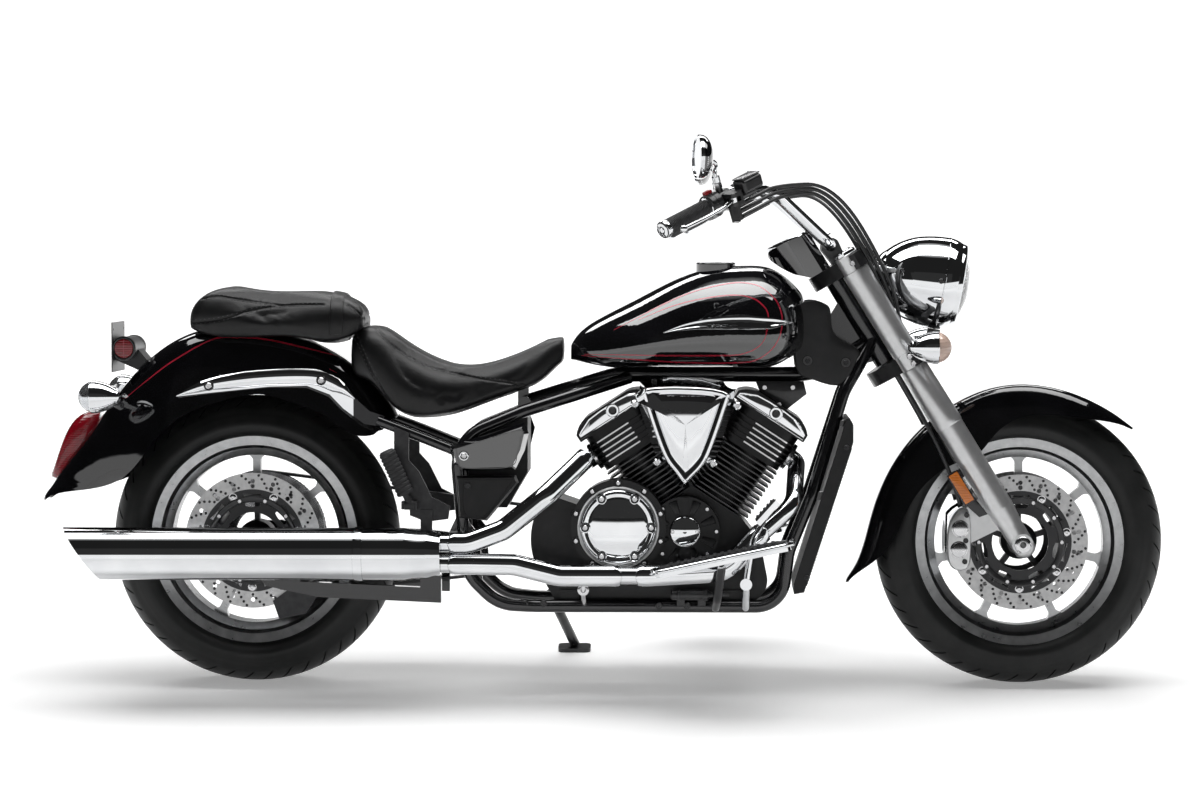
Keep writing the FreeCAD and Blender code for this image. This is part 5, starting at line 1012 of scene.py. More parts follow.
def fluteDent(spot):
    deep = 0.0
    for low, high in cleaner["flutes"]:
        a, b = Vector(low), Vector(high)
        share = max(0.0, min(1.0, (spot - a).dot(b - a) / (b - a).length_squared))
        far = (spot - a - (b - a) * share).length
        fade = math.exp(-((far / cleaner["fluteWide"]) ** 2))
        deep += cleaner["fluteDeep"] * share * share * (3 - 2 * share) * fade
    return deep


def panelRise(spot, share):
    high, curve, middle = cleaner["bow"]
    edge = 1 - share ** 7
    return edge * (high - curve * (spot.y - middle) ** 2) - edge * fluteDent(spot)


cover = crowned(closedLine(cleaner["face"], 3.0), cleaner["rings"], panelRise, 30)
put("air_cleaner_cover", "chrome", cover, onRight(crankFrame, [(0, 0)], cleaner["aside"]), angle=50)
lug = lathe([(0.001, 16), (6, 16), (8.4, 14), (9, 0)], 28)
put("air_cleaner_lugs", "chrome", lug, onRight(crankFrame, cleaner["lugs"], cleaner["lugFoot"]))
bolts("air_cleaner_bolts", "bright_alloy", onRight(crankFrame, cleaner["lugs"], cleaner["lugTop"]), 5, 4)
print("air cleaner made")

# Engine: bolts and lugs of the covers, wedge ribs, rocker trims. A ring is (radius, count, first angle)
engine = {
    "clutch": (-160, 27), "capRing": (72, 6), "capFace": 179.0, "domeFace": 158.6, "rimRing": (97, 10, 18),
    "rimFace": 166.2, "crank": (-15, 17), "crankRing": (69, 8), "crankFace": 144.3, "screws": [(-42, 17), (12, 17)],
    "screwFace": 158.5, "ribs": 8, "rib": [(-5, 39), (5, 39), (9.5, 70), (-9.5, 70)],
    "generator": (-25, 17), "generatorRing": (88, 10, 10), "generatorFace": 154.4, "generatorCapRing": (66, 5, 90),
    "generatorCapFace": 166.4,
}
spots = ringAround(engine["clutch"], *engine["capRing"])
places = onRight(crankFrame, spots, engine["capFace"])
collar = lathe([(8.2, -3), (8.4, 2.2), (9.4, 3.4), (10.8, 3.0), (11.8, -1)], 32)
put("clutch_cap_collars", "chrome", collar, places)
# The wells round the cap bolts are flat near-black discs: painted shade at the bottom of each recess
put("clutch_cap_well_shades", "slot_black", lathe([(0.001, 0.6), (8.3, 0.9), (8.3, -2)], 24), places)
bolts("clutch_cap_bolts", "bright_alloy", onRight(crankFrame, spots, engine["capFace"] + 0.5), 6, 4)
dome = lathe([(0.001, 26.5), (12, 26.28), (24, 25.6), (36, 24.5), (48, 22.9), (58, 21.3), (64, 20.2),
              (66.5, 19.0)], 96)
put("clutch_cap_dome", "chrome", dome, onRight(crankFrame, [engine["clutch"]], engine["domeFace"]))
seal = lathe([(83.6, -2), (84, 1.6), (85.6, 2.6), (88.6, 2.6), (89.8, 1.2), (90.2, -2)], 96)
put("clutch_rim_band", "satin_alloy", seal, onRight(crankFrame, [engine["clutch"]], engine["rimFace"]))
spots = ringAround(engine["clutch"], *engine["rimRing"])
pad = lathe([(0.001, 3.4), (7.4, 3.4), (8.6, 2.4), (9, -1)], 24)
put("clutch_rim_pads", "engine_black", pad, onRight(crankFrame, spots, engine["rimFace"]))
bolts("clutch_rim_bolts", "bright_alloy", onRight(crankFrame, spots, engine["rimFace"] + 3.2), 4.8, 4)
x, z = engine["crank"]
turns = [crankFrame @ at(x, -engine["crankFace"], z, turned(360 * (i + 0.5) / engine["ribs"], "Y") @ toRight)
         for i in range(engine["ribs"])]
put("crank_cover_ribs", "engine_black", plate(engine["rib"], 6, 1.4), turns)
bolts("crank_cap_screws", "bright_alloy", onRight(crankFrame, engine["screws"], engine["screwFace"]), 4.2, 3.4)
spots = ringAround(engine["crank"], *engine["crankRing"])
bolts("crank_cover_bolts", "bright_alloy", onRight(crankFrame, spots, engine["crankFace"]), 4.6, 5)
disc = lathe([(0.001, 9.5), (30, 8.6), (52, 5.4), (60, 2), (61, -0.5)], 72)
put("generator_cap", "chrome", disc, onLeft(crankFrame, [engine["generator"]], engine["generatorCapFace"]))
for part in ("generator", "generatorCap"):
    spots = ringAround(engine["generator"], *engine[part + "Ring"])
    places = onLeft(crankFrame, spots, engine[part + "Face"])
    bolts(part.replace("Cap", "_cap") + "_bolts", "bright_alloy", places, 5, 4.5)

rocker = {"side": [(-87, 311), (87, 311), (87, 325), (78, 331), (50, 343.5), (20, 346), (-20, 346), (-50, 343.5),
                   (-78, 331), (-87, 325)], "boss": (6, 329), "face": 94.2, "flange": (79.5, -50, 264)}
heads = [crankFrame @ turned(turn, "Y") for turn in (veeAngle, -veeAngle)]
panel = crowned(rocker["side"], [(0, 0), (0.6, 3), (2.4, 4.4), (5, 4.2), (6.5, 3.2)],
                lambda spot, share: 0.8 * (1 - share * share), 5)
places = [place for head in heads for place in onBoth(head, [(0, 0)], rocker["face"])]
put("rocker_panels", "chrome", panel, places, angle=25)
boss = lathe([(8.6, 6.5), (9.2, 8.2), (13, 8.2), (15, 5.5), (15.4, 2)], 36)
places = [place for head in heads for place in onBoth(head, [rocker["boss"]], rocker["face"])]
put("rocker_bosses", "chrome", boss, places)
bolts("rocker_bolts", "slot_black", [place @ at(0, 0, 4) for place in places], 8.4, 4.6)
print("engine trimmed")


# Headers: embossed heat shields with round ends, wrapped round the outside of each pipe
def bentLine(points, radius, step=5.0):
    points = [Vector(p) for p in points]
    line = [points[0]]
    for before, corner, after in zip(points, points[1:], points[2:]):
        into, out = (corner - before).normalized(), (after - corner).normalized()
        reach = 0.45 * min((corner - before).length, (after - corner).length)
        back = min(radius * math.tan(into.angle(out) / 2), reach)
        a, b = corner - into * back, corner + out * back
        for share in range(7):
            t = share / 6
            line.append(a * (1 - t) ** 2 + corner * 2 * t * (1 - t) + b * t * t)
    line.append(points[-1])
    even = []
    for a, b in zip(line, line[1:]):
        count = max(1, round((b - a).length / step))
        even += [a + (b - a) * i / count for i in range(count)]
    return even + [line[-1]]


headers = {
    "front": [(1190, -158, 404), (1108, -184, 334), (1040, -198, 262), (874, -209, 253), (680, -212, 253),
              (584, -216, 277), (484, -222, 279), (424.3, -222, 279)],
    "rear": [(790, -118, 560), (724, -160, 494), (650, -204, 424), (560, -216, 352), (484, -222, 324),
             (424.3, -222, 324)],
    "bend": 70, "shields": [("front", 436, 820), ("front", 846, 1130), ("rear", 436, 742)],
    "radius": 22.6, "thick": 1.4, "spread": 118, "roundEnd": 24, "emboss": 1.9, "rows": 24,
}


def heatShield(line, low, high):
    path = [p for p in line if low <= p.x <= high]
    rows, spans = headers["rows"], [0.0]
    for a, b in zip(path, path[1:]):
        spans.append(spans[-1] + (b - a).length)
    points = []
    for index, spot in enumerate(path):
        before, after = path[max(index - 1, 0)], path[min(index + 1, len(path) - 1)]
        ahead = (after - before).normalized()
        out = Vector((0, -1, 0))
        out = (out - ahead * out.dot(ahead)).normalized()
        up = ahead.cross(out)
        near = min(spans[index], spans[-1] - spans[index])
        span = headers["spread"] * (1 - max(0.0, 1 - near / headers["roundEnd"]) ** 2) ** 0.5
        for row in range(rows + 1):
            share = row * 2 / rows - 1
            angle = math.radians(share * max(span, 2))
            inward = max(0.0, (headers["spread"] * 0.62 - abs(share) * span) / 9)
            edge = min(1.0, inward) * min(1.0, max(0.0, (near - 9) / 6))
            radius = headers["radius"] + headers["emboss"] * edge * edge * (3 - 2 * edge)
            points.append(spot + (out * math.cos(angle) + up * math.sin(angle)) * radius)
    piece = fromPoints("shield", points, faces=gridFaces(len(path), rows + 1))
    editAll(piece, lambda: bpy.ops.mesh.normals_make_consistent(inside=False))
    useModifier(piece, "SOLIDIFY", thickness=headers["thick"], offset=0)
    return piece


shields = [heatShield(bentLine(headers[line], headers["bend"]), low, high)
           for line, low, high in headers["shields"]]
settle(joined(shields), "header_shields", "chassis", "chrome", bikeFrame, 40)
print("headers shielded")

# Wheels: discs with painted shade for their drill holes (dark caps on the face, no holes cut), buttons, hub rings,
# the pulley's bolts and teeth, and axle nuts
discs = {"rows": [(119.5, 0), (128, 3.2), (136.5, 6.4), (144, 9.6)], "groups": 24, "hole": 3.1,
         "buttons": (104, 7, 12), "hubBolts": (91, 10), "pulleyBolts": (76, 6), "teeth": 90}
wheels = {
    "front": dict(frame=frontFrame, discFace=64.5, hubFace=64.6, hubs=(Matrix(), leftTwin), ring="front_hub_rings"),
    "rear": dict(frame=rearFrame, discFace=94.5, hubFace=94.6, hubs=(Matrix(),), ring="rear_hub_ring"),
}


def aroundAxle(frame, face, radius, count, start=0.0):
    return [frame @ at(0, -face, 0, toRight) @ turned(start + 360 * i / count, "Z") @ at(radius, 0, 0)
            for i in range(count)]


for name, wheel in wheels.items():
    body = name + "_wheel"
    sides = [wheel["frame"] @ twin for twin in wheel["hubs"]]
    dots = [place for side in sides for radius, turn in discs["rows"]
            for place in aroundAxle(side, wheel["discFace"], radius, discs["groups"], turn)]
    # Each drill hole is a thin near-black cap on the disc face: painted shade where a hole would be, no hole is cut
    well = lathe([(0.001, 0.25), (discs["hole"], 0.25), (discs["hole"] + 0.3, -0.4)], 12)
    put(body + "_disc_hole_shades", "slot_black", well, dots, body)
    button = lathe([(0.001, 1.6), (2.6, 1.6), (3, 2.7), (6.4, 2.5), (7.6, 1.6), (8, 0), (9.4, 0.2),
                    (9.6, -0.6)], 24)
    places = [place for side in sides for place in aroundAxle(side, wheel["discFace"], *discs["buttons"])]
    put(body + "_disc_buttons", "bright_alloy", button, places, body)
    ring = lathe([(84.5, 0), (85, 3), (88, 4.4), (96, 4.4), (98, 3), (98.4, 0)], 96)
    put(wheel["ring"], "black_metal", ring, [side @ at(0, -wheel["hubFace"], 0, toRight) for side in sides], body)
    places = [place for side in sides for place in aroundAxle(side, wheel["hubFace"] + 4.2, *discs["hubBolts"])]
    bolts(name + "_hub_bolts", "bright_alloy", places, 4.6, 4, body)
places = aroundAxle(rearFrame @ leftTwin, 103, *discs["pulleyBolts"])
bolts("rear_pulley_bolts", "bright_alloy", places, 7, 5, "rear_wheel")
tooth = plate([(-1.8, -2.4), (1.8, -2.4), (1.2, 0), (-1.2, 0)], 22)
places = [rearFrame @ leftTwin @ at(0, -117, 0, toRight) @ turned(360 * i / discs["teeth"], "Z")
          @ at(0, 138.2, 22, turned(180, "X")) for i in range(discs["teeth"])]
put("rear_pulley_teeth", "dark_metal", tooth, places, "rear_wheel")
nut = lathe([(0.001, 6), (9, 6), (11, 4.8), (16, 3.4), (17, 0)], 6)
put("rear_axle_nuts", "bright_alloy", nut, onBoth(rearFrame, [(0, 0)], 159.4), angle=20)
print("wheels trimmed")

# Fork: covers, caps, bolts, amber reflectors and caliper bodies
fork = {
    "aside": 112, "pinch": [(-14, -9), (14, -9)], "clamp": [(2, 463), (2, 480), (2, 718)],
    "reflector": [(-50, 176)],
    "stay": [(-50, 100), (-30, 96), (-36, 142), (-42, 215), (-58, 215), (-62, 142)],
    "upper": [(26.7, 489), (28.9, 490), (29.2, 500), (30.6, 690), (30.6, 700), (26.7, 701)],
    "lower": [(30.4, 304), (31.4, 306), (31.6, 318), (29.6, 452), (28.6, 454), (26.7, 454.6)],
    "cap": [(0.001, 747.5), (12, 747.5), (13.5, 748.6), (21, 748.2), (24.5, 746), (25, 741)],
}
legs = [forkFrame @ at(0, -fork["aside"], 0), forkFrame @ leftTwin @ at(0, -fork["aside"], 0)]
put("fork_upper_covers", "satin_alloy", lathe(fork["upper"], 64), legs, "steering")
put("fork_lower_covers", "satin_alloy", lathe(fork["lower"], 64), legs, "steering")
put("fork_caps", "chrome", lathe(fork["cap"], 48), legs, "steering")
bolts("fork_pinch_bolts", "bright_alloy", onBoth(forkFrame, fork["pinch"], 138.2), 5, 5, "steering")
axleEnd = lathe([(7.2, 2), (7.2, 6.5), (9.6, 6.5), (15, 5), (17.6, 2.4), (18, 0)], 40)
put("front_axle_rings", "bright_alloy", axleEnd, onBoth(frontFrame, [(0, 0)], 138.3), "steering")
bolts("clamp_bolts", "bright_alloy", onBoth(forkFrame, fork["clamp"], 150.4), 6, 6, "steering")
places = onBoth(forkFrame, fork["reflector"], 133)
put("reflector_backs", "black_metal", slab(13.5, 38.5, 6, 2), places, "steering")
put("fork_reflectors", "amber_lens", slab(11, 36, 7, 2.2), [place @ at(0, 0, 3) for place in places], "steering")
put("reflector_stays", "black_metal", plate(fork["stay"], 4, 1.2), onBoth(forkFrame, [(0, 0)], 129), "steering")
caliper = {"body": [(-160, -38), (-140, -60), (-112, -44), (-112, 60), (-130, 78), (-152, 56), (-162, 20)],
           "face": 88.3, "pistons": [(-134, 32), (-137, -14)], "bolts": [(-120, 62), (-122, 6), (-124, -40)]}
body = crowned(closedLine(caliper["body"], 6), [(0, 0), (0.6, 9), (3, 13), (7, 14.5)],
               lambda spot, share: 3 * (1 - share * share), 8)
put("front_caliper_bodies", "satin_alloy", body, onBoth(frontFrame, [(0, 0)], caliper["face"]), "steering")
piston = lathe([(0.001, 9), (12, 9), (15.6, 6.8), (16.4, 4), (19, 2.2), (19.4, -3)], 40)
places = onBoth(frontFrame, caliper["pistons"], caliper["face"] + 15.5)
put("front_caliper_pistons", "bright_alloy", piston, places, "steering")
places = onBoth(frontFrame, caliper["bolts"], caliper["face"] + 15)
bolts("front_caliper_bolts", "slot_black", places, 6, 5, "steering")
print("fork trimmed")

# Headlamp: rim, reflector bowl, bulb cap, seam and side screws, each turned about the lamp's axis
lampFrame = forkFrame @ at(178.8, 0, 550, turned(41.8, "Y"))
alongX = turned(90, "Y")
lamp = [
    ("headlamp_rim", "chrome", 96,
     [(83, 2.4), (84.6, 5.4), (88, 6.4), (91.5, 4.6), (93.2, 0), (94.4, -6), (94.8, -9), (92, -9)]),
    ("headlamp_reflector", "reflector", 96,
     [(12, -78), (15, -74), (25, -69), (40, -59.5), (52, -49), (64, -35.5), (74, -22), (81.5, -10.5)]),
    ("headlamp_bulb_hood", "chrome", 48,
     [(0.001, -24), (9, -25), (15, -29), (17.5, -36), (17.5, -52), (8, -60), (8, -77)]),
    ("headlamp_seam", "chrome", 96, [(102.3, -36), (103.2, -35.4), (103.2, -33.6), (101.8, -32.6)]),
]
for name, look, steps, profile in lamp:
    piece = lathe(profile, steps)
    if look == "reflector":
        useModifier(piece, "SOLIDIFY", thickness=0.8, offset=0)
    settle(piece, name, "steering", look, lampFrame @ alongX)
bolts("headlamp_screws", "slot_black", onBoth(lampFrame, [(-44, 4)], 101), 6, 4, "steering")

# Signals and tail reflectors get their lenses and bands
signal = bikeFrame.inverted() @ forkFrame @ Vector((59, 0, 470))
signals = {
    "front": ("steering", "peach_lens",
              [bikeFrame @ at(signal.x + 1, hand * 200, signal.z, alongX) for hand in (-1, 1)]),
    "rear": ("chassis", "clear_lens",
             [bikeFrame @ at(-332, hand * 208, 640, turned(180, "Z") @ alongX) for hand in (-1, 1)]),
}
for name, (body, look, places) in signals.items():
    lens = lathe([(0.001, 34.4), (8, 33.4), (16, 30.2), (23, 25), (28.5, 18.4), (32, 11.5), (33.5, 6),
                  (33.7, 3.8)], 48)
    useModifier(lens, "SOLIDIFY", thickness=0.9, offset=1)
    put(name + "_signal_lenses", look, lens, places, body)
    band = lathe([(33.4, 6), (34.2, 6.4), (35.6, 5), (35.6, -6), (35.1, -7)], 48)
    put(name + "_signal_bands", "chrome", band, places, body)
places = onBoth(bikeFrame, [(-286, 742)], 78.2)
put("rear_reflectors", "red_lens", lathe([(0.001, 2.6), (10, 2.6), (20, 2.2), (21.6, 0.6)], 48), places)
band = lathe([(21.4, 0), (21.8, 3.6), (23.6, 4.4), (26.6, 3.4), (27.2, 0), (27.2, -12)], 48)
put("rear_reflector_rims", "black_metal", band, places)
put("rear_reflector_bars", "stripe_red", joined([slab(20, 0.7, 3.2), slab(0.7, 20, 3.2)]), places)
print("lamps trimmed")

# Handlebar: grip sleeves, end caps, switches and reservoir lids, along each grip's own x
gripPlace = forkFrame @ gripFrame
gripSides = [gripPlace, mirrored(gripPlace)]
grip = {"rings": 26, "pitch": 4.4, "ends": (-119.5, -1.5), "first": -117, "root": 17.05, "low": 17.2,
        "high": 18.1}
profile = [(grip["root"], grip["ends"][0])]
for index in range(grip["rings"]):
    x = grip["first"] + index * grip["pitch"]
    profile += [(grip["low"], x), (grip["high"], x + 0.7), (grip["high"], x + 3.0), (grip["low"], x + 3.7)]
profile.append((grip["root"], grip["ends"][1]))
places = [side @ alongX for side in gripSides]
put("grip_sleeves", "grip_rubber", lathe(profile, 40), places, "steering", 20)
ends = lathe([(0.001, 15.4), (5, 15.4), (6, 13.8), (8, 13.8), (9, 15.2), (15, 14.6), (18.4, 11.6), (19.2, 8),
              (19.2, 1), (18.2, -0.6), (17.2, -0.8)], 48)
put("grip_ends", "chrome", ends, places, "steering")
collar = lathe([(17.2, -124.5), (20.6, -124), (21.4, -122.4), (20.6, -120.2), (17.2, -119.6)], 48)
put("grip_collars", "chrome", collar, places, "steering")
put("kill_switch", "switch_red", slab(10, 6.5, 9, 2.4), [gripSides[0] @ at(inner + 17, -4, 22.5)], "steering")
put("lamp_switch", "dark_plastic", slab(10, 6.5, 8, 2.4), [gripSides[1] @ at(inner + 17, -4, 22.5)], "steering")
button = lathe([(0.001, 4.6), (4, 4.4), (5.6, 3), (6, 0), (7.2, 0.2), (7.6, -1.5)], 24)
places = [side @ at(inner + x, -24.6, -3, toRight) for side in gripSides for x in (12, 23)]
put("switch_buttons", "dark_plastic", button, places, "steering")
split = lathe([(25.05, -0.6), (25.5, 0), (25.05, 0.6)], 64)
put("housing_seams", "slot_black", split, [side @ at(inner + 17, 0, 0, alongX) for side in gripSides], "steering")
lids = [side @ at(inner - 65, 37, 32.2) for side in gripSides]
put("reservoir_lids", "black_metal", slab(27, 17, 4, 2.6), lids, "steering")
places = [place @ at(x, y, 3.6) for place in lids for x, y in ((-20, -10), (20, 10))]
bolts("reservoir_screws", "bright_alloy", places, 3.4, 2.2, "steering")
places = [side @ at(inner - 20, -20.2, z, toRight) for side in gripSides for z in (-8, 8)]
bolts("perch_bolts", "bright_alloy", places, 4, 4, "steering")
cap = lathe([(0.001, 6.8), (5, 6.8), (8, 5.8), (8.6, 4.8)], 24)
put("lever_pivot_caps", "bright_alloy", cap, [side @ at(inner - 12, 39, 0) for side in gripSides], "steering")

# Mirrors: each profile counts in shares of the radius, and is stretched to an oval
mirror = {"centre": (-34, -50, 52), "turn": 8, "glass": (43, 71), "back": (47, 75)}
footRight = bikeFrame.inverted() @ gripPlace @ Vector((inner - 12, 2, 40.3))
mirrorRight = bikeFrame @ at(*(footRight + Vector(mirror["centre"])), turned(mirror["turn"], "Z"))
mirrorSides = [mirrorRight, mirrored(mirrorRight)]
toBack = turned(-90, "Y")
ovals = [
    ("mirror_glasses", "mirror_glass", mirror["glass"], toBack, -6.0,
     [(0.001, 1.0), (0.5, 0.96), (0.96, 0.78), (1.0, 0.2), (1.0, -0.2)]),
    ("mirror_bezels", "chrome", mirror["glass"], toBack, -6.2,
     [(1.0, -2.5), (1.0, 2.2), (1.03, 3.2), (1.075, 2.8), (1.1, 0.5), (1.1, -5)]),
    ("mirror_backs", "black_paint", mirror["back"], alongX, 0,
     [(1.005, -2), (1.0, 3), (0.93, 9.6), (0.8, 15.4), (0.6, 20.4), (0.36, 23.6), (0.16, 24.9), (0.001, 25.2)]),
]
for name, look, size, turn, x, profile in ovals:
    oval = lathe(profile, 64)
    oval.data.transform(Matrix.Diagonal((*size, 1, 1)))
    put(name, look, oval, [side @ at(x, 0, 0, turn) for side in mirrorSides], "steering")
nut = lathe([(0.001, 12), (7, 12), (9.4, 10.5), (9.4, 0.5), (9.2, 0)], 6)
put("mirror_nuts", "bright_alloy", nut, [side @ at(inner - 12, 2, 28) for side in gripSides], "steering", 20)

# Gauge: bezel, dial with marks, needle, hub and glass
gauge = {"at": (-92, 0, 829.2), "tilt": 6.5, "steps": 40, "sweep": 270, "start": 45,
         "markRing": 36.5, "needle": 135}
dialPlace = forkFrame @ at(*gauge["at"], turned(gauge["tilt"], "Y"))
ring = lathe([(41.5, 0.4), (42, 5.4), (44.4, 7.2), (48, 6.6), (50.4, 3.4), (50.8, -3)], 96)
settle(ring, "gauge_bezel", "steering", "chrome", dialPlace)
settle(lathe([(0.001, 1.6), (41, 1.6), (42, 0)], 72), "gauge_dial", "steering", "slot_black", dialPlace)
turns = [turned(gauge["start"] + gauge["sweep"] * i / gauge["steps"], "Z") for i in range(gauge["steps"] + 1)]
marks = [dialPlace @ turn @ at(0, gauge["markRing"], 1.6) for turn in turns]
fine = [place for i, place in enumerate(marks) if i % 4]
put("gauge_fine_marks", "dial_white", slab(0.35, 2.6, 0.4), fine, "steering")
put("gauge_marks", "dial_white", slab(0.6, 4, 0.5), marks[::4], "steering")
needle = plate([(-1.8, -9), (1.8, -9), (0.5, 31), (-0.5, 31)], 1.0, 0.3)
needlePlace = dialPlace @ at(0, 0, 2.6, turned(gauge["needle"], "Z"))
settle(needle, "gauge_needle", "steering", "switch_red", needlePlace)
hub = lathe([(0.001, 5), (3.6, 4.8), (4.6, 3.6), (4.8, 1.6)], 24)
settle(hub, "gauge_hub", "steering", "dark_plastic", dialPlace)
window = lathe([(0.001, 6.2), (20, 6.0), (38, 5.2), (41.6, 4.4)], 64)
useModifier(window, "SOLIDIFY", thickness=0.8, offset=-1)
settle(window, "gauge_glass", "steering", "clear_lens", dialPlace)
places = [forkFrame @ at(-17 + dx, y, 796.2) for dx in (-11, 11) for y in (-40, 40)]
bolts("bar_riser_bolts", "bright_alloy", places, 5, 4, "steering")
print("controls trimmed")

# Body side: neck covers on posts, and the covers of the battery box with their bolts and beads
neck = {"outline": [(1203, 836), (1266, 838), (1280, 778), (1332, 742), (1330, 716), (1298, 664), (1240, 672),
                    (1196, 702)],
        "aside": 58, "posts": [(1232, 712), (1290, 724)], "bolts": [(1222, 716), (1306, 712)]}
cover = crowned(closedLine(neck["outline"], 6), [(0, 0), (0.4, 3.5), (2, 5.4), (5, 6)],
                lambda spot, share: 2.4 * (1 - share ** 4), 10)
put("neck_covers", "dark_plastic", cover, onBoth(bikeFrame, [(0, 0)], neck["aside"]), angle=40)
post = lathe([(0.001, 50), (9, 50), (9, 0.2)], 24)
put("neck_cover_posts", "black_metal", post, onBoth(bikeFrame, neck["posts"], 9.9))
well = lathe([(0.001, 0.4), (7, 0.4), (7.4, 2.2), (10.4, 2.2), (11.4, 0), (11.4, -3)], 32)
places = onBoth(bikeFrame, neck["bolts"], neck["aside"] + 8)
put("neck_cover_wells", "slot_black", well, places)
bolts("neck_cover_bolts", "dark_metal", places, 5.6, 3.6)
covers = {
    "upper": dict(face=182.3, look="black_paint", bolt=(472, 512),
                  inset=[(455, 527), (461, 497), (474, 485), (572, 488), (589, 520), (596, 552), (592, 568)]),
    "lower": dict(face=172.3, look="dark_plastic", bolt=(480, 446),
                  inset=[(469, 459), (473, 386), (516, 379), (570, 447), (566, 459)]),
}
places = {name: onBoth(bikeFrame, [cover["bolt"]], cover["face"]) for name, cover in covers.items()}
ring = lathe([(6.2, -1), (6.6, 2), (8.6, 2.6), (10.4, 1.6), (10.8, -1)], 32)
put("side_cover_rings", "chrome", ring, places["upper"])
bolts("side_cover_bolts", "bright_alloy", places["upper"], 6, 3.4)
bolts("lower_cover_bolts", "dark_metal", places["lower"], 7, 3.4)
for name, cover in covers.items():
    line = smoothLine([(x, z, 0) for x, z in cover["inset"] + cover["inset"][:1]], 6)
    places = onBoth(bikeFrame, [(0, 0)], cover["face"])
    put(name + "_cover_beads", cover["look"], pipe(line, 0.9, True, 1), places)

# Radiator: rows of fins and tubes up its sloping face
core = {"low": (246, -118), "high": (353, 211), "rows": 46, "first": 0.06, "last": 0.94, "foot": 0.04,
        "tubes": range(-104, 105, 16), "bolts": [(252, -86), (338, 200)]}
low, high = Vector(core["low"]), Vector(core["high"])
facing = Matrix.Rotation(math.atan2((high - low).x, (high - low).y), 4, "Y") @ turned(90, "Z") @ turned(90, "X")


def upCore(share, y=0):
    spot = low + (high - low) * share
    return crankFrame @ at(spot.x, y, spot.y, facing)


span = core["last"] - core["first"]
rows = [upCore(core["first"] + span * i / core["rows"]) for i in range(core["rows"] + 1)]
put("radiator_fins", "dark_metal", slab(112, 0.5, 3), rows)
tube = plate([(-1.6, 0), (1.6, 0), (1.6, 318), (-1.6, 318)], 2.2)
put("radiator_tubes", "black_metal", tube, [upCore(core["foot"], y) for y in core["tubes"]])
bolts("radiator_bolts", "dark_metal", onBoth(crankFrame, core["bolts"], 125), 6, 4)

# Feet: ribbed rubbers on boards, pedal and pegs
feet = {
    "board": (1038, -286, 288), "boardTilt": -12,
    "mat": [(-132, -43), (131, -43), (139, 0), (122, 43), (-122, 43), (-139, 0)],
    "edge": [(-140, -52), (0, -52.5), (140, -52), (150, 0), (130, 52), (-130, 52), (-150, 0), (-140, -52)],
    "pedal": (1132, -274, 396), "pedalTilt": -48, "hinge": (356, -184, 404),
    "pegWay": (-0.44, -0.1, 1), "pegStart": 27,
}
board = bikeFrame @ at(*feet["board"], turned(feet["boardTilt"], "Y"))
boards = [board, mirrored(board)]
put("board_rubbers", "grip_rubber", plate(feet["mat"], 3.4, 1.2), [place @ at(0, 0, 16) for place in boards])
ribs = [place @ at(x, 0, 19) for place in boards for x in range(-112, 113, 16)]
put("board_ribs", "grip_rubber", slab(4, 38, 3, 1.2), ribs)
edge = pipe([(x, y, 0) for x, y in flatLine(feet["edge"], 8)], 4.4, True, 3)
put("board_edges", "chrome", edge, [place @ at(0, 0, 13) for place in boards])
pedal = bikeFrame @ at(*feet["pedal"], turned(feet["pedalTilt"], "Y"))
put("pedal_rubber", "grip_rubber", slab(30, 26, 4, 1.6), [pedal @ at(0, 0, 6)])
put("pedal_ribs", "grip_rubber", slab(2.4, 23, 3, 1), [pedal @ at(x, 0, 9.6) for x in (-22, -11, 0, 11, 22)])
way = Vector(feet["pegWay"]).normalized()
ribbed = [(17.02, 0)]
for z in range(0, 99, 9):
    ribbed += [(17.2, z + 1.5), (18.8, z + 2.8), (18.8, z + 6.6), (17.2, z + 8)]
ribbed += [(17.6, 100), (14, 103.4), (0.001, 104)]
for hand, twin in (("right", Matrix()), ("left", leftTwin)):
    place = bikeFrame @ twin @ aimed(Vector(feet["hinge"]) + way * feet["pegStart"], way)
    settle(lathe(ribbed, 36), f"peg_{hand}_rubber", f"passenger_peg_{hand}", "grip_rubber", place, 25)

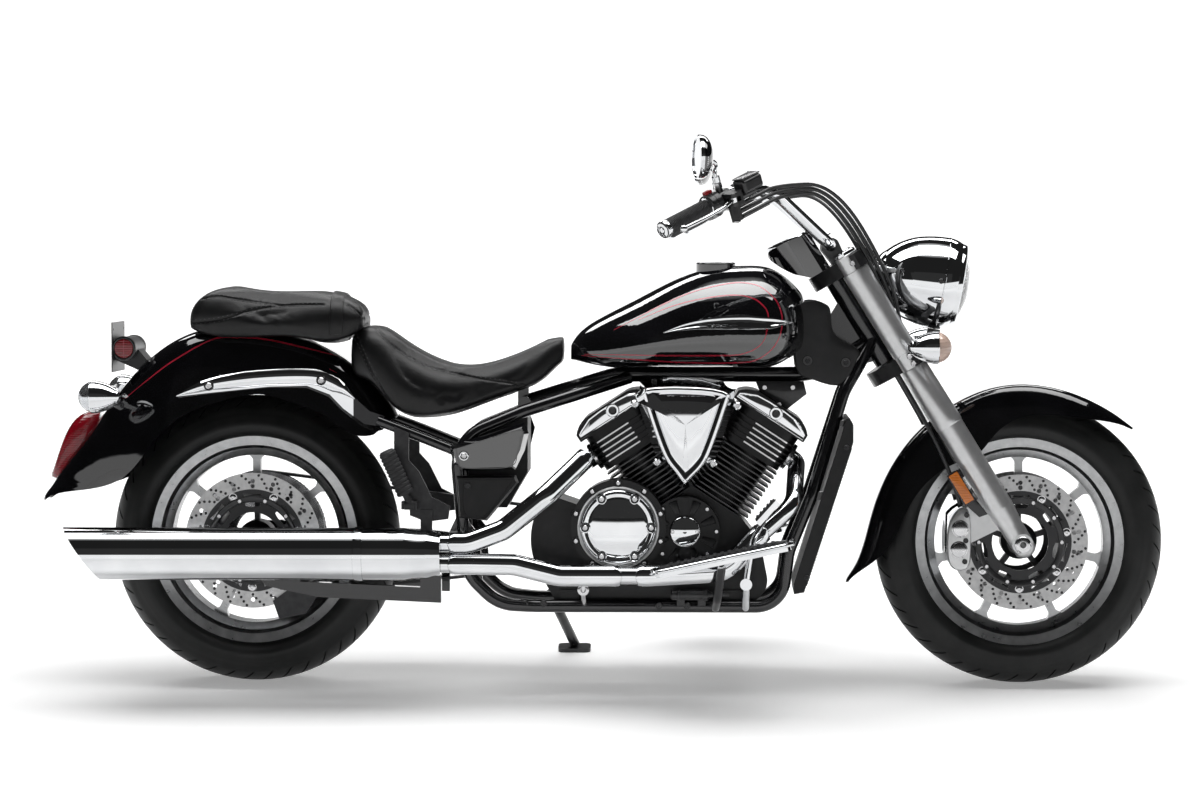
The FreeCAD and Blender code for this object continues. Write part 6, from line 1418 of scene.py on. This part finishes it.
# Underneath: cradle bolts, the brake cylinder, and the exhaust's stay, band and flanges
under = {
    "cradleBolts": [(602, 184), (643, 184), (896, 180), (958, 180)], "cylinder": (922, -148, 206),
    "body": [(0.001, 0), (8, 0), (11, 3), (11.5, 14), (13, 15), (13, 22), (11.5, 23), (11.5, 70), (13, 71),
             (13, 80), (9, 84), (5, 92), (3, 94), (3, 128), (0.001, 128)], "clamps": [(944, 193), (990, 193)],
    "stay": [(733, -212, 236), (733, -206, 214), (733, -170, 196), (733, -124, 182)],
    "band": [(57.2, 0), (58.6, 0.6), (59.2, 3), (59.2, 17), (58.6, 19.4), (57.2, 20)], "bandAt": (236, -222, 300),
}
bolts("cradle_bolts", "black_metal", onBoth(bikeFrame, under["cradleBolts"], 126.2), 8, 5)
put("brake_cylinder", "black_metal", lathe(under["body"], 32), [bikeFrame @ at(*under["cylinder"], alongX)])
put("brake_cylinder_clamps", "black_metal", slab(9, 12, 12, 2), onRight(bikeFrame, under["clamps"], 125.4))
settle(pipe(smoothLine(under["stay"], 6), 5.5), "header_stay", "chassis", "bright_alloy", bikeFrame)
eye = lathe([(5.4, -5), (5.6, 5), (10, 5), (12.5, 3.5), (12.8, -5)], 32)
settle(eye, "header_stay_eye", "chassis", "bright_alloy", bikeFrame @ at(733, -210, 222, toRight))
put("muffler_band", "chrome", lathe(under["band"], 96), [bikeFrame @ at(*under["bandAt"], alongX)])
flange = lathe([(19.3, 0), (30, 0), (31, 1.2), (31, 6.6), (30, 8), (19.3, 8)], 48)
x, y, z = rocker["flange"]
flanges = [heads[0] @ at(x, y, z, alongX), heads[1] @ at(-x, y, z, turned(180, "Z") @ alongX)]
put("header_flanges", "bright_alloy", flange, flanges)
places = [place @ at(0, y, 7.6) for place in flanges for y in (-25, 25)]
bolts("header_flange_bolts", "bright_alloy", places, 5, 6)
print("feet and exhaust trimmed")

# Head brackets: plates from the backbone down to the front head
bracket = {"outline": [(1108, 670), (1214, 670), (1221, 642), (1170, 602), (1126, 624)], "thick": 5, "aside": 36,
           "bolts": [(1128, 656), (1190, 656), (1160, 618)]}
sheet = plate(bracket["outline"], bracket["thick"], 1.5)
outer = bracket["aside"] + bracket["thick"]
put("head_brackets", "black_metal", sheet, [bikeFrame @ at(0, y, 0, toRight) for y in (-bracket["aside"], outer)])
bolts("head_bracket_bolts", "bright_alloy", onRight(bikeFrame, bracket["bolts"], outer), 6, 4)
print("head brackets made")
